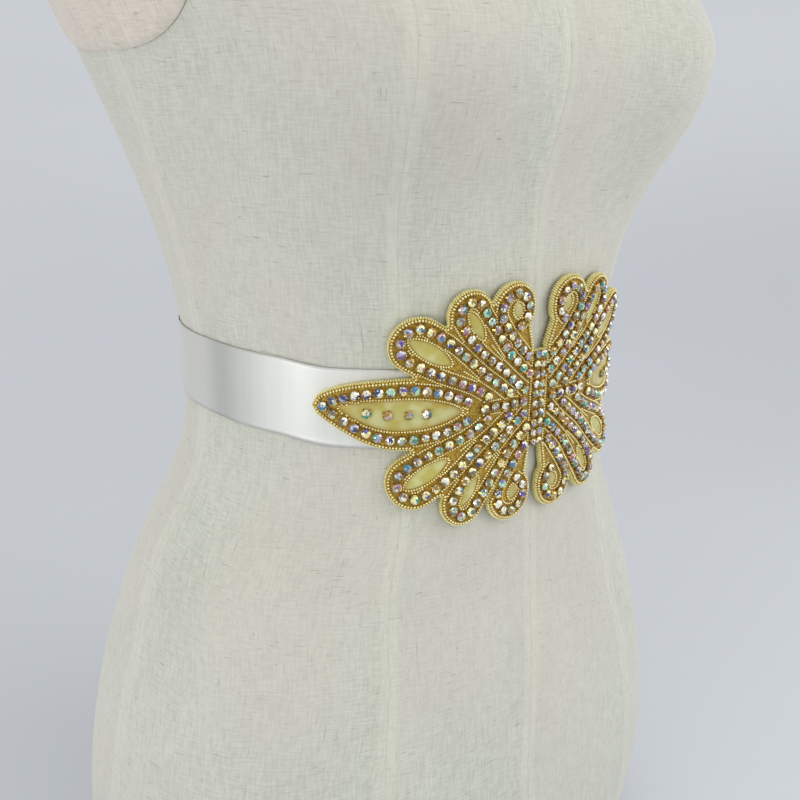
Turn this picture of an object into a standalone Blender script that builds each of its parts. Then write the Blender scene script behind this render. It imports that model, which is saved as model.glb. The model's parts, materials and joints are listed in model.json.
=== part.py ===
# Bridal sash on a limbless dress form.
# A satin ribbon goes round the waist and is tied at the back, and a beaded applique
# of two leaves and twelve petals is sewn on it at the front.
# Front is -Y, the wearer's right is -X, and the form stands on its flat underside at Z = 0.
# Every size below is in millimetres, and scaled to metres where a mesh is made.

import functools
import math
from collections import namedtuple

import bmesh
import bpy
import numpy as np
from mathutils import Vector
from mathutils.geometry import delaunay_2d_cdt

MM = 0.001

# Seams and walls
SEAM_GAP = 0.4
LAYER_GAP = 0.9
PLATE_GAP = 0.9
RIBBON_WALL = 1.0
BACKING_WALL = 2.2
STONE_ROW_RISE = 2.4
PLATE_WALL = 2.0

# Dress form
WAIST = 330.0
SECTION_POWER = 2.35
RING_STEP = 20.0
RING_POINTS = 56
FormRing = namedtuple("FormRing", "height half_width front back centre")
FORM_RINGS = [
    FormRing(0, 166, 114, 107, 0),
    FormRing(4, 170, 117, 110, 0),
    FormRing(13, 174.5, 121, 113.5, 0),
    FormRing(40, 181.5, 126.5, 118.5, 0),
    FormRing(80, 184.5, 129.5, 121.5, 0),
    FormRing(130, 180, 125.5, 121.5, 0),
    FormRing(180, 168, 116, 118, 0),
    FormRing(230, 148.5, 106.5, 110.5, 0),
    FormRing(280, 121.5, 105.5, 101, 0),
    FormRing(330, 114.6, 104, 104.5, 0),
    FormRing(380, 123, 104.5, 111, 0),
    FormRing(430, 139, 101, 120.5, 2),
    FormRing(480, 160, 105, 129.5, 5),
    FormRing(520, 177, 102, 133, 9),
    FormRing(560, 180.5, 93, 130.5, 13),
    FormRing(600, 176, 79.5, 124.5, 16),
    FormRing(630, 168, 66, 117, 19),
    FormRing(655, 154, 54, 109, 21),
    FormRing(677, 127, 43, 99, 23),
    FormRing(694, 94, 37, 90, 24),
    FormRing(710, 69, 34, 84, 25),
    FormRing(730, 58, 32, 80, 25),
    FormRing(755, 55, 30, 79, 25),
    FormRing(770, 54, 29, 78, 25),
    FormRing(775, 50, 25, 74, 25),
]
BUST_HEIGHT = 484.0
BUST_SPREAD = 88.0
BUST_RISE = 37.0
BUST_HALF_WIDTH = 55.0
BUST_ABOVE = 46.0
BUST_BELOW = 66.0
BUST_FULLNESS = 2.2
BUST_VALLEY = 0.45

# Armhole plates, squarish ovals that close the form's sides
ARMHOLE_HEIGHT = 546.0
ARMHOLE_HALF_HEIGHT = 65.0
ARMHOLE_CENTRE = 8.0
ARMHOLE_HALF_WIDTH = 72.0
ARMHOLE_POWER = 3.0
ARMHOLE_RINGS = 8
ARMHOLE_POINTS = 36

# Ribbon
RIBBON_WIDTH = 38.0
RIBBON_STATIONS = 48
RIBBON_ROWS = 4
GATHER_LENGTH = 45.0
GATHERED_WIDTH = 22.0
RIBBON_DIP = 2.6
DIP_FROM = 136.0
DIP_TO = 106.0
KNOT_WIDTH = 25.0
KNOT_HEIGHT = 29.0
KNOT_DEPTH = 13.0
TAIL_LENGTH = 185.0
TAIL_SLANT = 16.0
TAIL_TOP_WIDTH = 11.5
TAIL_SPREAD = 33.0
TAIL_FLARE = 55.0
TAIL_STATIONS = 24

# Applique, laid out flat: across from the centre of the sash, and up from its own axis
APPLIQUE_DROP = 4.5
STONE_PITCH = 5.5
STONE_ROW_WIDTH = 5.0
ROW_SPACING = 7.7
EDGE_MARGIN = 4.9
AXIS_CLEARANCE = 5.6
CROTCH_FILL = 1.6
GRID_STEP = 6.0
EDGE_STEP = 2.9
COLUMN_HALF_WIDTH = 4.5
COLUMN_HALF_HEIGHT = 22.4
COLUMN_PITCH = 4.9
COLUMN_MARGIN = 1.6
HUB_HALF_WIDTH = 44.0
HUB_HALF_HEIGHT = 23.0
MIDRIB_START = 10.5
MIDRIB_END = 34.0
LEAF_START = 36.0
LEAF_END = 108.5
LEAF_HALF_WIDTH = 12.0
LEAF_FULLNESS = 0.8
LEAF_LIFT = 4.0
LEAF_LIFT_FROM = 78.0
LEAF_LIFT_TO = 112.0

# A petal's two rows of stones leave the root side by side, part round a bare almond
# and meet in a round cap.
Petal = namedtuple("Petal", "name root_x root_y bend_x bend_y cap_x cap_y cap_radius belly_from")
PETALS = [
    Petal("petal_1", 19.0, 0.5, 37.0, 15.0, 68.5, 33.0, 8.0, 0.35),
    Petal("petal_2", 7.5, 9.0, 30.3, 25.9, 44.2, 46.0, 6.3, 0.25),
]

# A curl is one row that climbs from the column and closes into a ring.
Curl = namedtuple("Curl", "name root_x root_y ring_x ring_y ring_radius neck turn")
CURL_UPPER = Curl("curl", 8.8, 22.6, 19.5, 46.0, 8.3, 12.0, 280.0)
CURL_LOWER = Curl("curl", 8.8, 22.6, 16.4, 46.5, 8.5, 14.0, 274.0)

# Surface colours, with roughness and metallic value
Finish = namedtuple("Finish", "red green blue roughness metallic")
LINEN = Finish(0.56, 0.55, 0.50, 0.9, 0.0)
SATIN = Finish(0.82, 0.83, 0.80, 0.35, 0.0)
GOLD_THREAD = Finish(0.62, 0.47, 0.14, 0.45, 0.6)
STONES = Finish(0.75, 0.72, 0.70, 0.15, 0.3)


def clear_scene():
    for old in list(bpy.data.objects):
        bpy.data.objects.remove(old, do_unlink=True)


def make_material(name, finish):
    material = bpy.data.materials.new(name)
    material.use_nodes = True
    shader = material.node_tree.nodes["Principled BSDF"]
    shader.inputs["Base Color"].default_value = (finish.red, finish.green, finish.blue, 1.0)
    shader.inputs["Roughness"].default_value = finish.roughness
    shader.inputs["Metallic"].default_value = finish.metallic
    return material


def smoothstep(value):
    value = min(max(value, 0.0), 1.0)
    return value * value * (3.0 - 2.0 * value)


# The dress form's surface


def form_ring(height):
    """The form's section at a height, on a smooth curve through the table's rows."""
    heights = [ring.height for ring in FORM_RINGS]
    last = len(FORM_RINGS) - 1
    after = min(max(int(np.searchsorted(heights, height)), 1), last)
    before = after - 1
    lower, upper = FORM_RINGS[before], FORM_RINGS[after]
    below, above = FORM_RINGS[max(before - 1, 0)], FORM_RINGS[min(after + 1, last)]
    span = upper.height - lower.height
    t = (height - lower.height) / span
    values = [height]
    for a, b, c, d in list(zip(below, lower, upper, above))[1:]:
        start = span * (c - a) / (upper.height - below.height)
        end = span * (d - b) / (above.height - lower.height)
        values.append(
            b * (1 + t * t * (2 * t - 3))
            + c * t * t * (3 - 2 * t)
            + start * t * (1 - t) * (1 - t)
            - end * t * t * (1 - t)
        )
    return FormRing(*values)


def bust_rise(x, facing, height):
    """How far the bust stands out in front, where facing is 1 at the front and 0 at the sides."""
    reach = BUST_ABOVE if height > BUST_HEIGHT else BUST_BELOW
    upright = math.exp(-(abs(height - BUST_HEIGHT) / reach) ** BUST_FULLNESS)
    beyond = np.maximum(np.abs(x) - BUST_SPREAD, 0.0) / BUST_HALF_WIDTH
    within = np.minimum(np.abs(x) / BUST_SPREAD, 1.0)
    across = np.exp(-(beyond**BUST_FULLNESS)) - BUST_VALLEY * (1.0 - within**2) ** 2
    share = np.clip(facing / 0.6, 0.0, 1.0)
    return BUST_RISE * upright * across * share * share * (3.0 - 2.0 * share)


def form_outline(height, angles):
    """The form's section as x and y, at angles turned from the front towards the wearer's right."""
    ring = form_ring(height)
    side, facing = np.sin(angles), np.cos(angles)
    power = 2.0 / SECTION_POWER
    x = -ring.half_width * np.sign(side) * np.abs(side) ** power
    depth = np.where(facing > 0, ring.front + ring.centre, ring.back - ring.centre)
    y = ring.centre - depth * np.sign(facing) * np.abs(facing) ** power
    return x, y - bust_rise(x, facing, height)


@functools.cache
def girth_table(height):
    """Points round the wearer's right half at a height, with their distance from the front."""
    angles = np.linspace(0.0, math.pi, 361)
    x, y = form_outline(height, angles)
    steps = np.hypot(np.diff(x), np.diff(y))
    return np.concatenate([[0.0], np.cumsum(steps)]), x, y


def half_girth(height):
    return float(girth_table(height)[0][-1])


def form_point(around, height, out):
    """A point on the form, a distance round from the front, moved out from its surface."""
    distance, x, y = girth_table(height)
    here = abs(around)
    step = 0.5
    near = max(here - step, 0.0)
    far = min(here + step, distance[-1])
    along = (
        np.interp(far, distance, x) - np.interp(near, distance, x),
        np.interp(far, distance, y) - np.interp(near, distance, y),
    )
    if here < step:
        along = (-1.0, 0.0)
    if here > distance[-1] - step:
        along = (1.0, 0.0)
    length = math.hypot(*along)
    px = np.interp(here, distance, x) + out * along[1] * -1.0 / length
    py = np.interp(here, distance, y) + out * along[0] / length
    return Vector((-px if around < 0 else px, py, height))


def waist_point(around, rise, out):
    """A point on the sash's bed: the form, bridged flat where the ribbon crosses the waist."""
    half = RIBBON_WIDTH / 2
    if abs(rise) >= half:
        return form_point(around, WAIST + rise, out)
    low = form_point(around, WAIST - half, out)
    high = form_point(around, WAIST + half, out)
    return low.lerp(high, (rise + half) / RIBBON_WIDTH)


def form_side(y, height):
    """The form's half width at a depth y."""
    _, across, depth = girth_table(height)
    return float(np.interp(y, depth, -across))


def form_back(x, height):
    """The form's depth behind its middle at a place x across the back."""
    ring = form_ring(height)
    share = min(abs(x) / ring.half_width, 1.0)
    depth = (ring.back - ring.centre) * (1.0 - share**SECTION_POWER) ** (1.0 / SECTION_POWER)
    return ring.centre + depth


# Meshes


def add_object(name, mesh, collection, material):
    piece = bpy.data.objects.new(name, mesh)
    mesh.materials.append(material)
    mesh.shade_smooth()
    mesh.set_sharp_from_angle(angle=math.radians(40))
    collection.objects.link(piece)
    return piece


def mesh_from_bmesh(name, bm):
    mesh = bpy.data.meshes.new(name)
    bm.to_mesh(mesh)
    bm.free()
    return mesh


def add_wall(piece, thickness):
    """Gives an open surface its wall, on the side its faces look to."""
    wall = piece.modifiers.new("wall", "SOLIDIFY")
    wall.thickness = thickness * MM
    wall.offset = 1.0
    wall.use_even_offset = True
    return wall


def face_outwards(bm, outwards):
    """Turns an open surface's faces to look the way the function gives at their centres."""
    bmesh.ops.recalc_face_normals(bm, faces=bm.faces)
    bm.faces.ensure_lookup_table()
    facing = sum(face.normal.dot(outwards(face.calc_center_median())) for face in bm.faces)
    if facing < 0:
        bmesh.ops.reverse_faces(bm, faces=bm.faces)


def from_middle(point):
    return Vector((point.x, point.y, 0.0))


def grid_surface(name, rows):
    """An open surface through rows of points that all have the same number."""
    bm = bmesh.new()
    lines = [[bm.verts.new(point * MM) for point in row] for row in rows]
    for low, high in zip(lines, lines[1:]):
        for i in range(len(low) - 1):
            bm.faces.new((low[i], low[i + 1], high[i + 1], high[i]))
    face_outwards(bm, from_middle)
    return mesh_from_bmesh(name, bm)


def laid_wall(name, points, faces, out, thickness):
    """A closed wall on the sash's bed, over flat points (around, rise) and the faces between them.

    Its inner points lie a distance out from the bed, and its outer ones a thickness further."""
    bm = bmesh.new()
    around = bm.verts.layers.float.new("around")
    rise = bm.verts.layers.float.new("rise")
    verts = []
    for point in points:
        vert = bm.verts.new(waist_point(point.x, point.y, out) * MM)
        vert[around], vert[rise] = point
        verts.append(vert)
    for face in faces:
        bm.faces.new([verts[i] for i in face])
    raised = bmesh.ops.extrude_face_region(bm, geom=bm.faces[:])
    for vert in raised["geom"]:
        if isinstance(vert, bmesh.types.BMVert):
            vert.co = waist_point(vert[around], vert[rise], out + thickness) * MM
    bmesh.ops.recalc_face_normals(bm, faces=bm.faces)
    return mesh_from_bmesh(name, bm)


def build_form(collection, material):
    bm = bmesh.new()
    heights = [ring.height for ring in FORM_RINGS]
    for height in np.arange(RING_STEP, FORM_RINGS[-1].height, RING_STEP):
        if min(abs(height - other) for other in heights) > RING_STEP / 3:
            heights.append(float(height))
    heights.sort()
    angles = np.linspace(0.0, 2 * math.pi, RING_POINTS, endpoint=False)
    loops = []
    for height in heights:
        x, y = form_outline(height, angles)
        loops.append([bm.verts.new((x[i] * MM, y[i] * MM, height * MM)) for i in range(RING_POINTS)])
    for low, high in zip(loops, loops[1:]):
        for i in range(RING_POINTS):
            j = (i + 1) % RING_POINTS
            bm.faces.new((low[i], low[j], high[j], high[i]))
    bm.faces.new(loops[0])
    bm.faces.new(loops[-1])
    bmesh.ops.recalc_face_normals(bm, faces=bm.faces)
    return add_object("dress_form", mesh_from_bmesh("dress_form", bm), collection, material)


def plate_rim(turn):
    """The armhole plate's rim, a squarish oval about its middle."""
    across, up = math.cos(turn), math.sin(turn)
    power = 2.0 / ARMHOLE_POWER
    wide = ARMHOLE_HALF_WIDTH * math.copysign(abs(across) ** power, across)
    high = ARMHOLE_HALF_HEIGHT * math.copysign(abs(up) ** power, up)
    return wide, high


def build_armhole_plate(side, sign, collection, material):
    """A squarish oval plate on the form's side, thin at its rim."""
    bm = bmesh.new()
    loops = []
    for ring in range(1, ARMHOLE_RINGS + 1):
        share = ring / ARMHOLE_RINGS
        loop = []
        for i in range(ARMHOLE_POINTS):
            across, up = plate_rim(2 * math.pi * i / ARMHOLE_POINTS)
            y = ARMHOLE_CENTRE + share * across
            height = ARMHOLE_HEIGHT + share * up
            loop.append(bm.verts.new(Vector((sign * (form_side(y, height) + PLATE_GAP), y, height)) * MM))
        loops.append(loop)
    x = sign * (form_side(ARMHOLE_CENTRE, ARMHOLE_HEIGHT) + PLATE_GAP)
    middle = bm.verts.new(Vector((x, ARMHOLE_CENTRE, ARMHOLE_HEIGHT)) * MM)
    for i in range(ARMHOLE_POINTS):
        j = (i + 1) % ARMHOLE_POINTS
        bm.faces.new((middle, loops[0][i], loops[0][j]))
        for inner, outer in zip(loops, loops[1:]):
            bm.faces.new((inner[i], outer[i], outer[j], inner[j]))
    face_outwards(bm, from_middle)
    name = "armhole_plate_" + side
    plate = add_object(name, mesh_from_bmesh(name, bm), collection, material)
    add_wall(plate, PLATE_WALL)


def ribbon_dip(around):
    """How far the ribbon sags below the waist in front."""
    return RIBBON_DIP * smoothstep((DIP_FROM - abs(around)) / (DIP_FROM - DIP_TO))


def build_ribbon(side, sign, collection, material):
    """The stretch of ribbon from the front centre round one side to the knot."""
    start = SEAM_GAP / 2
    end = half_girth(WAIST) - KNOT_WIDTH / 2 - SEAM_GAP
    points = []
    for i in range(RIBBON_STATIONS + 1):
        around = start + (end - start) * i / RIBBON_STATIONS
        gather = smoothstep((around - (end - GATHER_LENGTH)) / GATHER_LENGTH)
        width = RIBBON_WIDTH + (GATHERED_WIDTH - RIBBON_WIDTH) * gather
        for j in range(RIBBON_ROWS + 1):
            points.append(Vector((sign * around, width * (j / RIBBON_ROWS - 0.5) - ribbon_dip(around))))
    faces = []
    for low in range(0, RIBBON_STATIONS * (RIBBON_ROWS + 1), RIBBON_ROWS + 1):
        high = low + RIBBON_ROWS + 1
        faces += [(low + j, low + j + 1, high + j + 1, high + j) for j in range(RIBBON_ROWS)]
    name = "ribbon_" + side
    add_object(name, laid_wall(name, points, faces, SEAM_GAP, RIBBON_WALL), collection, material)


def build_knot(collection, material):
    """The tie at the back, a rounded pad from a coarse cage."""
    bm = bmesh.new()
    bmesh.ops.create_cube(bm, size=1.0)
    size = Vector((KNOT_WIDTH, KNOT_DEPTH, KNOT_HEIGHT)) * MM
    bmesh.ops.scale(bm, vec=size, verts=bm.verts)
    bmesh.ops.subdivide_edges(bm, edges=bm.edges, cuts=1, use_grid_fill=True)
    bed = form_back(0.0, WAIST + KNOT_HEIGHT / 3)
    centre = Vector((0.0, bed + SEAM_GAP + KNOT_DEPTH / 2, WAIST)) * MM
    bmesh.ops.translate(bm, vec=centre, verts=bm.verts)
    knot = add_object("ribbon_knot", mesh_from_bmesh("ribbon_knot", bm), collection, material)
    soft = knot.modifiers.new("soft", "SUBSURF")
    soft.levels = 1
    soft.render_levels = 1


def build_tail(side, sign, collection, material):
    """A loose end that lies down the form's back and hangs straight from where it is fullest."""
    rows = []
    top = WAIST - KNOT_HEIGHT / 2 - SEAM_GAP
    deepest = [0.0] * (RIBBON_ROWS + 1)
    for i in range(TAIL_STATIONS + 1):
        share = i / TAIL_STATIONS
        down = TAIL_LENGTH * share
        flare = smoothstep(down / TAIL_FLARE)
        width = TAIL_TOP_WIDTH + (RIBBON_WIDTH - TAIL_TOP_WIDTH) * flare
        inner = SEAM_GAP + (TAIL_SPREAD - RIBBON_WIDTH / 2) * smoothstep(share)
        row = []
        for j in range(RIBBON_ROWS + 1):
            across = j / RIBBON_ROWS
            x = inner + width * across
            height = top - down - TAIL_SLANT * across * share
            deepest[j] = max(deepest[j], form_back(x, height) + SEAM_GAP)
            row.append(Vector((sign * x, deepest[j], height)))
        rows.append(row)
    name = "ribbon_tail_" + side
    add_wall(add_object(name, grid_surface(name, rows), collection, material), RIBBON_WALL)


# The applique's layout, as flat points (across, up) on the wearer's right and above the axis


def bezier(start, bend, end, t):
    return start.lerp(bend, t).lerp(bend.lerp(end, t), t)


def evenly_spaced(points, pitch):
    """Points at an even pitch along a line through the given ones."""
    steps = [(b - a).length for a, b in zip(points, points[1:])]
    distance = np.concatenate([[0.0], np.cumsum(steps)])
    count = max(int(round(distance[-1] / pitch)), 1)
    wanted = np.linspace(0.0, distance[-1], count + 1)
    across = np.interp(wanted, distance, [point.x for point in points])
    up = np.interp(wanted, distance, [point.y for point in points])
    return [Vector((a, b)) for a, b in zip(across, up)]


def petal_sides(petal, margin):
    """The petal's two sides and cap, from root to tip and back, at a margin outside its rows."""
    root = Vector((petal.root_x, petal.root_y))
    bend = Vector((petal.bend_x, petal.bend_y))
    cap = Vector((petal.cap_x, petal.cap_y))
    inner_side, outer_side = [], []
    for i in range(41):
        t = i / 40
        point = bezier(root, bend, cap, t)
        along = (bend - root).lerp(cap - bend, t).normalized()
        across = Vector((-along.y, along.x))
        belly = smoothstep((t - petal.belly_from) / 0.55)
        half = ROW_SPACING / 2 + (petal.cap_radius - ROW_SPACING / 2) * belly + margin
        inner_side.append(point + across * half)
        outer_side.append(point - across * half)
    tip = []
    heading = math.atan2(cap.y - bend.y, cap.x - bend.x)
    for i in range(1, 20):
        turn = heading + math.pi / 2 - math.pi * i / 20
        tip.append(cap + Vector((math.cos(turn), math.sin(turn))) * (petal.cap_radius + margin))
    return inner_side + tip + outer_side[::-1]


def leaf_side(margin):
    """The leaf's upper side, from its root to its point."""
    points = []
    for i in range(41):
        share = i / 40
        full = LEAF_HALF_WIDTH * math.sin(math.pi * share) ** LEAF_FULLNESS
        across = LEAF_START + (LEAF_END - LEAF_START) * share
        points.append(Vector((across, full)))
    if not margin:
        return points
    moved = []
    for i, point in enumerate(points):
        along = points[min(i + 1, 40)] - points[max(i - 1, 0)]
        moved.append(point + Vector((-along.y, along.x)).normalized() * margin)
    moved.append(Vector((LEAF_END + margin, 0.0)))
    return moved


def curl_line(curl):
    """The curl's single row: up its stem, round its ring and back towards the stem."""
    ring = Vector((curl.ring_x, curl.ring_y))
    root = Vector((curl.root_x, curl.root_y))
    heading = math.atan2(ring.y - root.y, ring.x - root.x)
    first = heading - math.pi / 2 - math.radians(curl.neck)
    start = ring + Vector((math.cos(first), math.sin(first))) * curl.ring_radius
    along = Vector((-math.sin(first), math.cos(first)))
    bend = start - along * (start - root).length * 0.45
    stem = [bezier(root, bend, start, i / 12) for i in range(12)]
    turns = [first + math.radians(curl.turn) * i / 36 for i in range(37)]
    return stem + [ring + Vector((math.cos(a), math.sin(a))) * curl.ring_radius for a in turns]


def curl_edge(curl, margin):
    """The curl's outline: its ring, and both sides of its stem."""
    ring = Vector((curl.ring_x, curl.ring_y))
    root = Vector((curl.root_x, curl.root_y))
    along = (ring - root).normalized()
    across = Vector((-along.y, along.x))
    heading = math.atan2(along.y, along.x)
    outer = curl.ring_radius + margin
    neck = math.radians(150)
    turns = [heading + neck - 2 * neck * i / 48 for i in range(49)]
    points = [ring + Vector((math.cos(a), math.sin(a))) * outer for a in turns]
    return [root + across * margin] + points + [root - across * margin]


def inside(point, outline):
    """Whether a flat point lies inside a closed outline."""
    found = False
    for a, b in zip(outline, outline[1:] + outline[:1]):
        if (a.y > point.y) != (b.y > point.y):
            if point.x < a.x + (point.y - a.y) * (b.x - a.x) / (b.y - a.y):
                found = not found
    return found


def clear_of_middle(points):
    """Drops the ends of a row that come too near the applique's axis or its column."""
    nearest = COLUMN_HALF_WIDTH + STONE_ROW_WIDTH / 2 + SEAM_GAP
    return [point for point in points if point.y > AXIS_CLEARANCE and point.x > nearest]


def quarter_shapes(curl, margin):
    """The closed outlines that make one quarter of the applique, from the column to the leaf."""
    top = COLUMN_HALF_HEIGHT + margin - EDGE_MARGIN + COLUMN_MARGIN
    side = COLUMN_HALF_WIDTH + COLUMN_MARGIN
    leaf = leaf_side(margin)
    turns = [math.pi / 2 * i / 12 for i in range(13)]
    hub = [Vector((HUB_HALF_WIDTH * math.sin(a), HUB_HALF_HEIGHT * math.cos(a))) for a in turns]
    return [
        [Vector((-side, 0.0)), Vector((-side, top)), Vector((side, top)), Vector((side, 0.0))],
        curl_edge(curl, margin),
        petal_sides(PETALS[1], margin),
        petal_sides(PETALS[0], margin),
        [Vector((LEAF_START, -1.0))] + leaf + [Vector((LEAF_END, -1.0))],
        [Vector((0.0, -1.0))] + hub + [Vector((HUB_HALF_WIDTH, -1.0))],
    ]


def quarter_outline(curl):
    """The applique's edge over one quarter, which leaves out what lies inside or by a neighbour."""
    column, *petals, leaf, _ = quarter_shapes(curl, EDGE_MARGIN)
    swollen = quarter_shapes(curl, EDGE_MARGIN + CROTCH_FILL)
    top = [Vector((0.0, column[1].y)), column[2]]
    outline = []
    for number, line in enumerate([top] + petals + [leaf[1:-1]]):
        others = swollen[:number] + swollen[number + 1 :]
        dense = evenly_spaced(line, 0.5)
        outline += [p for p in dense if p.y >= 0 and not any(inside(p, shape) for shape in others)]
    return evenly_spaced(outline, EDGE_STEP)


def applique_outline():
    upper = quarter_outline(CURL_UPPER)
    lower = [Vector((p.x, -p.y)) for p in quarter_outline(CURL_LOWER)]
    right_half = upper + lower[::-1][1:]
    left_half = [Vector((-p.x, p.y)) for p in right_half[::-1]]
    return right_half + left_half[1:-1]


def leaf_lift(across):
    """How far the leaves bend up towards their points."""
    return LEAF_LIFT * smoothstep((abs(across) - LEAF_LIFT_FROM) / (LEAF_LIFT_TO - LEAF_LIFT_FROM))


def from_waist(points):
    """The applique's flat points, measured up from the waist and not from its own axis."""
    return [Vector((point.x, point.y + leaf_lift(point.x) - APPLIQUE_DROP)) for point in points]


def build_backing(collection, material):
    outline = applique_outline()
    points = list(outline)
    reach = int(LEAF_END / GRID_STEP) + 1
    for i in range(-reach, reach + 1):
        for j in range(-reach, reach + 1):
            grid = Vector((i * GRID_STEP, j * GRID_STEP))
            nearest = min((grid - point).length for point in outline)
            if nearest > GRID_STEP * 0.5 and inside(grid, outline):
                points.append(grid)
    border = list(range(len(outline)))
    flat, _, triangles, _, _, _ = delaunay_2d_cdt(points, [], [border], 1, 1e-6, False)
    middles = [(flat[a] + flat[b] + flat[c]) / 3 for a, b, c in triangles]
    faces = [face for face, middle in zip(triangles, middles) if inside(middle, outline)]
    out = SEAM_GAP + RIBBON_WALL + LAYER_GAP
    name = "applique_backing"
    add_object(name, laid_wall(name, from_waist(flat), faces, out, BACKING_WALL), collection, material)


def build_stone_row(name, line, width, collection, material):
    """A raised row of stones on the backing, along a flat line."""
    points = []
    for i, point in enumerate(line):
        along = line[min(i + 1, len(line) - 1)] - line[max(i - 1, 0)]
        across = Vector((-along.y, along.x)).normalized() * (width / 2)
        points += [point - across, point + across]
    faces = [(2 * i, 2 * i + 1, 2 * i + 3, 2 * i + 2) for i in range(len(line) - 1)]
    out = SEAM_GAP + RIBBON_WALL + LAYER_GAP + BACKING_WALL + LAYER_GAP
    add_object(name, laid_wall(name, from_waist(points), faces, out, STONE_ROW_RISE), collection, material)


def build_applique(collection, thread, stones):
    build_backing(collection, thread)
    column = [Vector((0.0, COLUMN_HALF_HEIGHT)), Vector((0.0, -COLUMN_HALF_HEIGHT))]
    column = evenly_spaced(column, COLUMN_PITCH)
    build_stone_row("column_stones", column, 2 * COLUMN_HALF_WIDTH, collection, stones)
    half_leaf = evenly_spaced([p for p in leaf_side(0.0) if p.y > ROW_SPACING / 2 or p.x > 80], STONE_PITCH)
    leaf = half_leaf + [Vector((p.x, -p.y)) for p in half_leaf[-2::-1]]
    midrib = evenly_spaced([Vector((MIDRIB_START, 0.0)), Vector((MIDRIB_END, 0.0))], STONE_PITCH)
    lines = [("leaf", leaf, 1), ("midrib", midrib, 1)]
    for petal in PETALS:
        line = evenly_spaced(clear_of_middle(petal_sides(petal, 0.0)), STONE_PITCH)
        lines += [(petal.name + "_upper", line, 1), (petal.name + "_lower", line, -1)]
    lines.append(("curl_upper", evenly_spaced(curl_line(CURL_UPPER), STONE_PITCH), 1))
    lines.append(("curl_lower", evenly_spaced(curl_line(CURL_LOWER), STONE_PITCH), -1))
    for side, sign in (("right", 1), ("left", -1)):
        for name, line, up in lines:
            placed = [Vector((sign * p.x, up * p.y)) for p in line]
            build_stone_row(name + "_" + side, placed, STONE_ROW_WIDTH, collection, stones)


def main():
    clear_scene()
    collection = bpy.data.collections.new("bridal_sash_on_dress_form")
    bpy.context.scene.collection.children.link(collection)
    linen = make_material("linen", LINEN)
    satin = make_material("satin", SATIN)
    thread = make_material("gold_thread", GOLD_THREAD)
    stones = make_material("stones", STONES)
    build_form(collection, linen)
    for side, sign in (("right", -1), ("left", 1)):
        build_armhole_plate(side, sign, collection, linen)
        build_ribbon(side, -sign, collection, satin)
        build_tail(side, sign, collection, satin)
    build_knot(collection, satin)
    build_applique(collection, thread, stones)


main()
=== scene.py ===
# Looks of the bridal sash on its dress form: the linen cover with its seams, the satin
# ribbon with its tie, and the applique's rhinestones, beads, stitched edge and inlays.
# Front is -Y, the wearer's right is -X, and the form stands at Z = 0.
# Sizes are in millimetres, and scaled to metres where a mesh is made.

import functools
import json
import math
import random
from collections import namedtuple

import bmesh
import bpy
import numpy as np
from mathutils import Matrix, Vector, kdtree

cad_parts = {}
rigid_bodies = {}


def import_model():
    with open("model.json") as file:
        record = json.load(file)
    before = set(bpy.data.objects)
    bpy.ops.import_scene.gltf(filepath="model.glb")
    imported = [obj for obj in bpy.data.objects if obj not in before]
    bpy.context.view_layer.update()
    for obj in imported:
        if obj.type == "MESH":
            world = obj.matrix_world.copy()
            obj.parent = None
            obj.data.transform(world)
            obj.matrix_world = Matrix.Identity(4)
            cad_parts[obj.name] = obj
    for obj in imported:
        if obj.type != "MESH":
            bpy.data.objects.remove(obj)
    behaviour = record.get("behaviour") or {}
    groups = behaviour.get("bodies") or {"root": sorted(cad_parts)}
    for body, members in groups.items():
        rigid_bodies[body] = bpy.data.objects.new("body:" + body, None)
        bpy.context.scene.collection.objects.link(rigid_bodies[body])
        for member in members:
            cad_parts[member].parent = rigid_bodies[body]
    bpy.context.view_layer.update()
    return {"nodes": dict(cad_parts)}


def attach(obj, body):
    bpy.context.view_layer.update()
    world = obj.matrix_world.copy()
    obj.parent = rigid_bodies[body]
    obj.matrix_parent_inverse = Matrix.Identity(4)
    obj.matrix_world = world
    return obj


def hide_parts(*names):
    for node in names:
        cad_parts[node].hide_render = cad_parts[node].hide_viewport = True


for old in list(bpy.data.objects):
    bpy.data.objects.remove(old, do_unlink=True)
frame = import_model()

MM = 0.001

# Walls and gaps, as the solids have them
SEAM_GAP = 0.4
PLATE_GAP = 0.9
PLATE_WALL = 2.0
BACKING_TOP = 4.5

# Dress form
WAIST = 330.0
FORM_TOP = 775
SECTION_POWER = 2.35
FormRing = namedtuple("FormRing", "height half_width front back centre")
FORM_RINGS = [
    FormRing(0, 166, 114, 107, 0),
    FormRing(4, 170, 117, 110, 0),
    FormRing(13, 174.5, 121, 113.5, 0),
    FormRing(40, 181.5, 126.5, 118.5, 0),
    FormRing(80, 184.5, 129.5, 121.5, 0),
    FormRing(130, 180, 125.5, 121.5, 0),
    FormRing(180, 168, 116, 118, 0),
    FormRing(230, 148.5, 106.5, 110.5, 0),
    FormRing(280, 121.5, 105.5, 101, 0),
    FormRing(330, 114.6, 104, 104.5, 0),
    FormRing(380, 123, 104.5, 111, 0),
    FormRing(430, 139, 101, 120.5, 2),
    FormRing(480, 160, 105, 129.5, 5),
    FormRing(520, 177, 102, 133, 9),
    FormRing(560, 180.5, 93, 130.5, 13),
    FormRing(600, 176, 79.5, 124.5, 16),
    FormRing(630, 168, 66, 117, 19),
    FormRing(655, 154, 54, 109, 21),
    FormRing(677, 127, 43, 99, 23),
    FormRing(694, 94, 37, 90, 24),
    FormRing(710, 69, 34, 84, 25),
    FormRing(730, 58, 32, 80, 25),
    FormRing(755, 55, 30, 79, 25),
    FormRing(770, 54, 29, 78, 25),
    FormRing(775, 50, 25, 74, 25),
]
BUST_HEIGHT = 484.0
BUST_SPREAD = 88.0
BUST_RISE = 37.0
BUST_HALF_WIDTH = 55.0
BUST_ABOVE = 46.0
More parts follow.
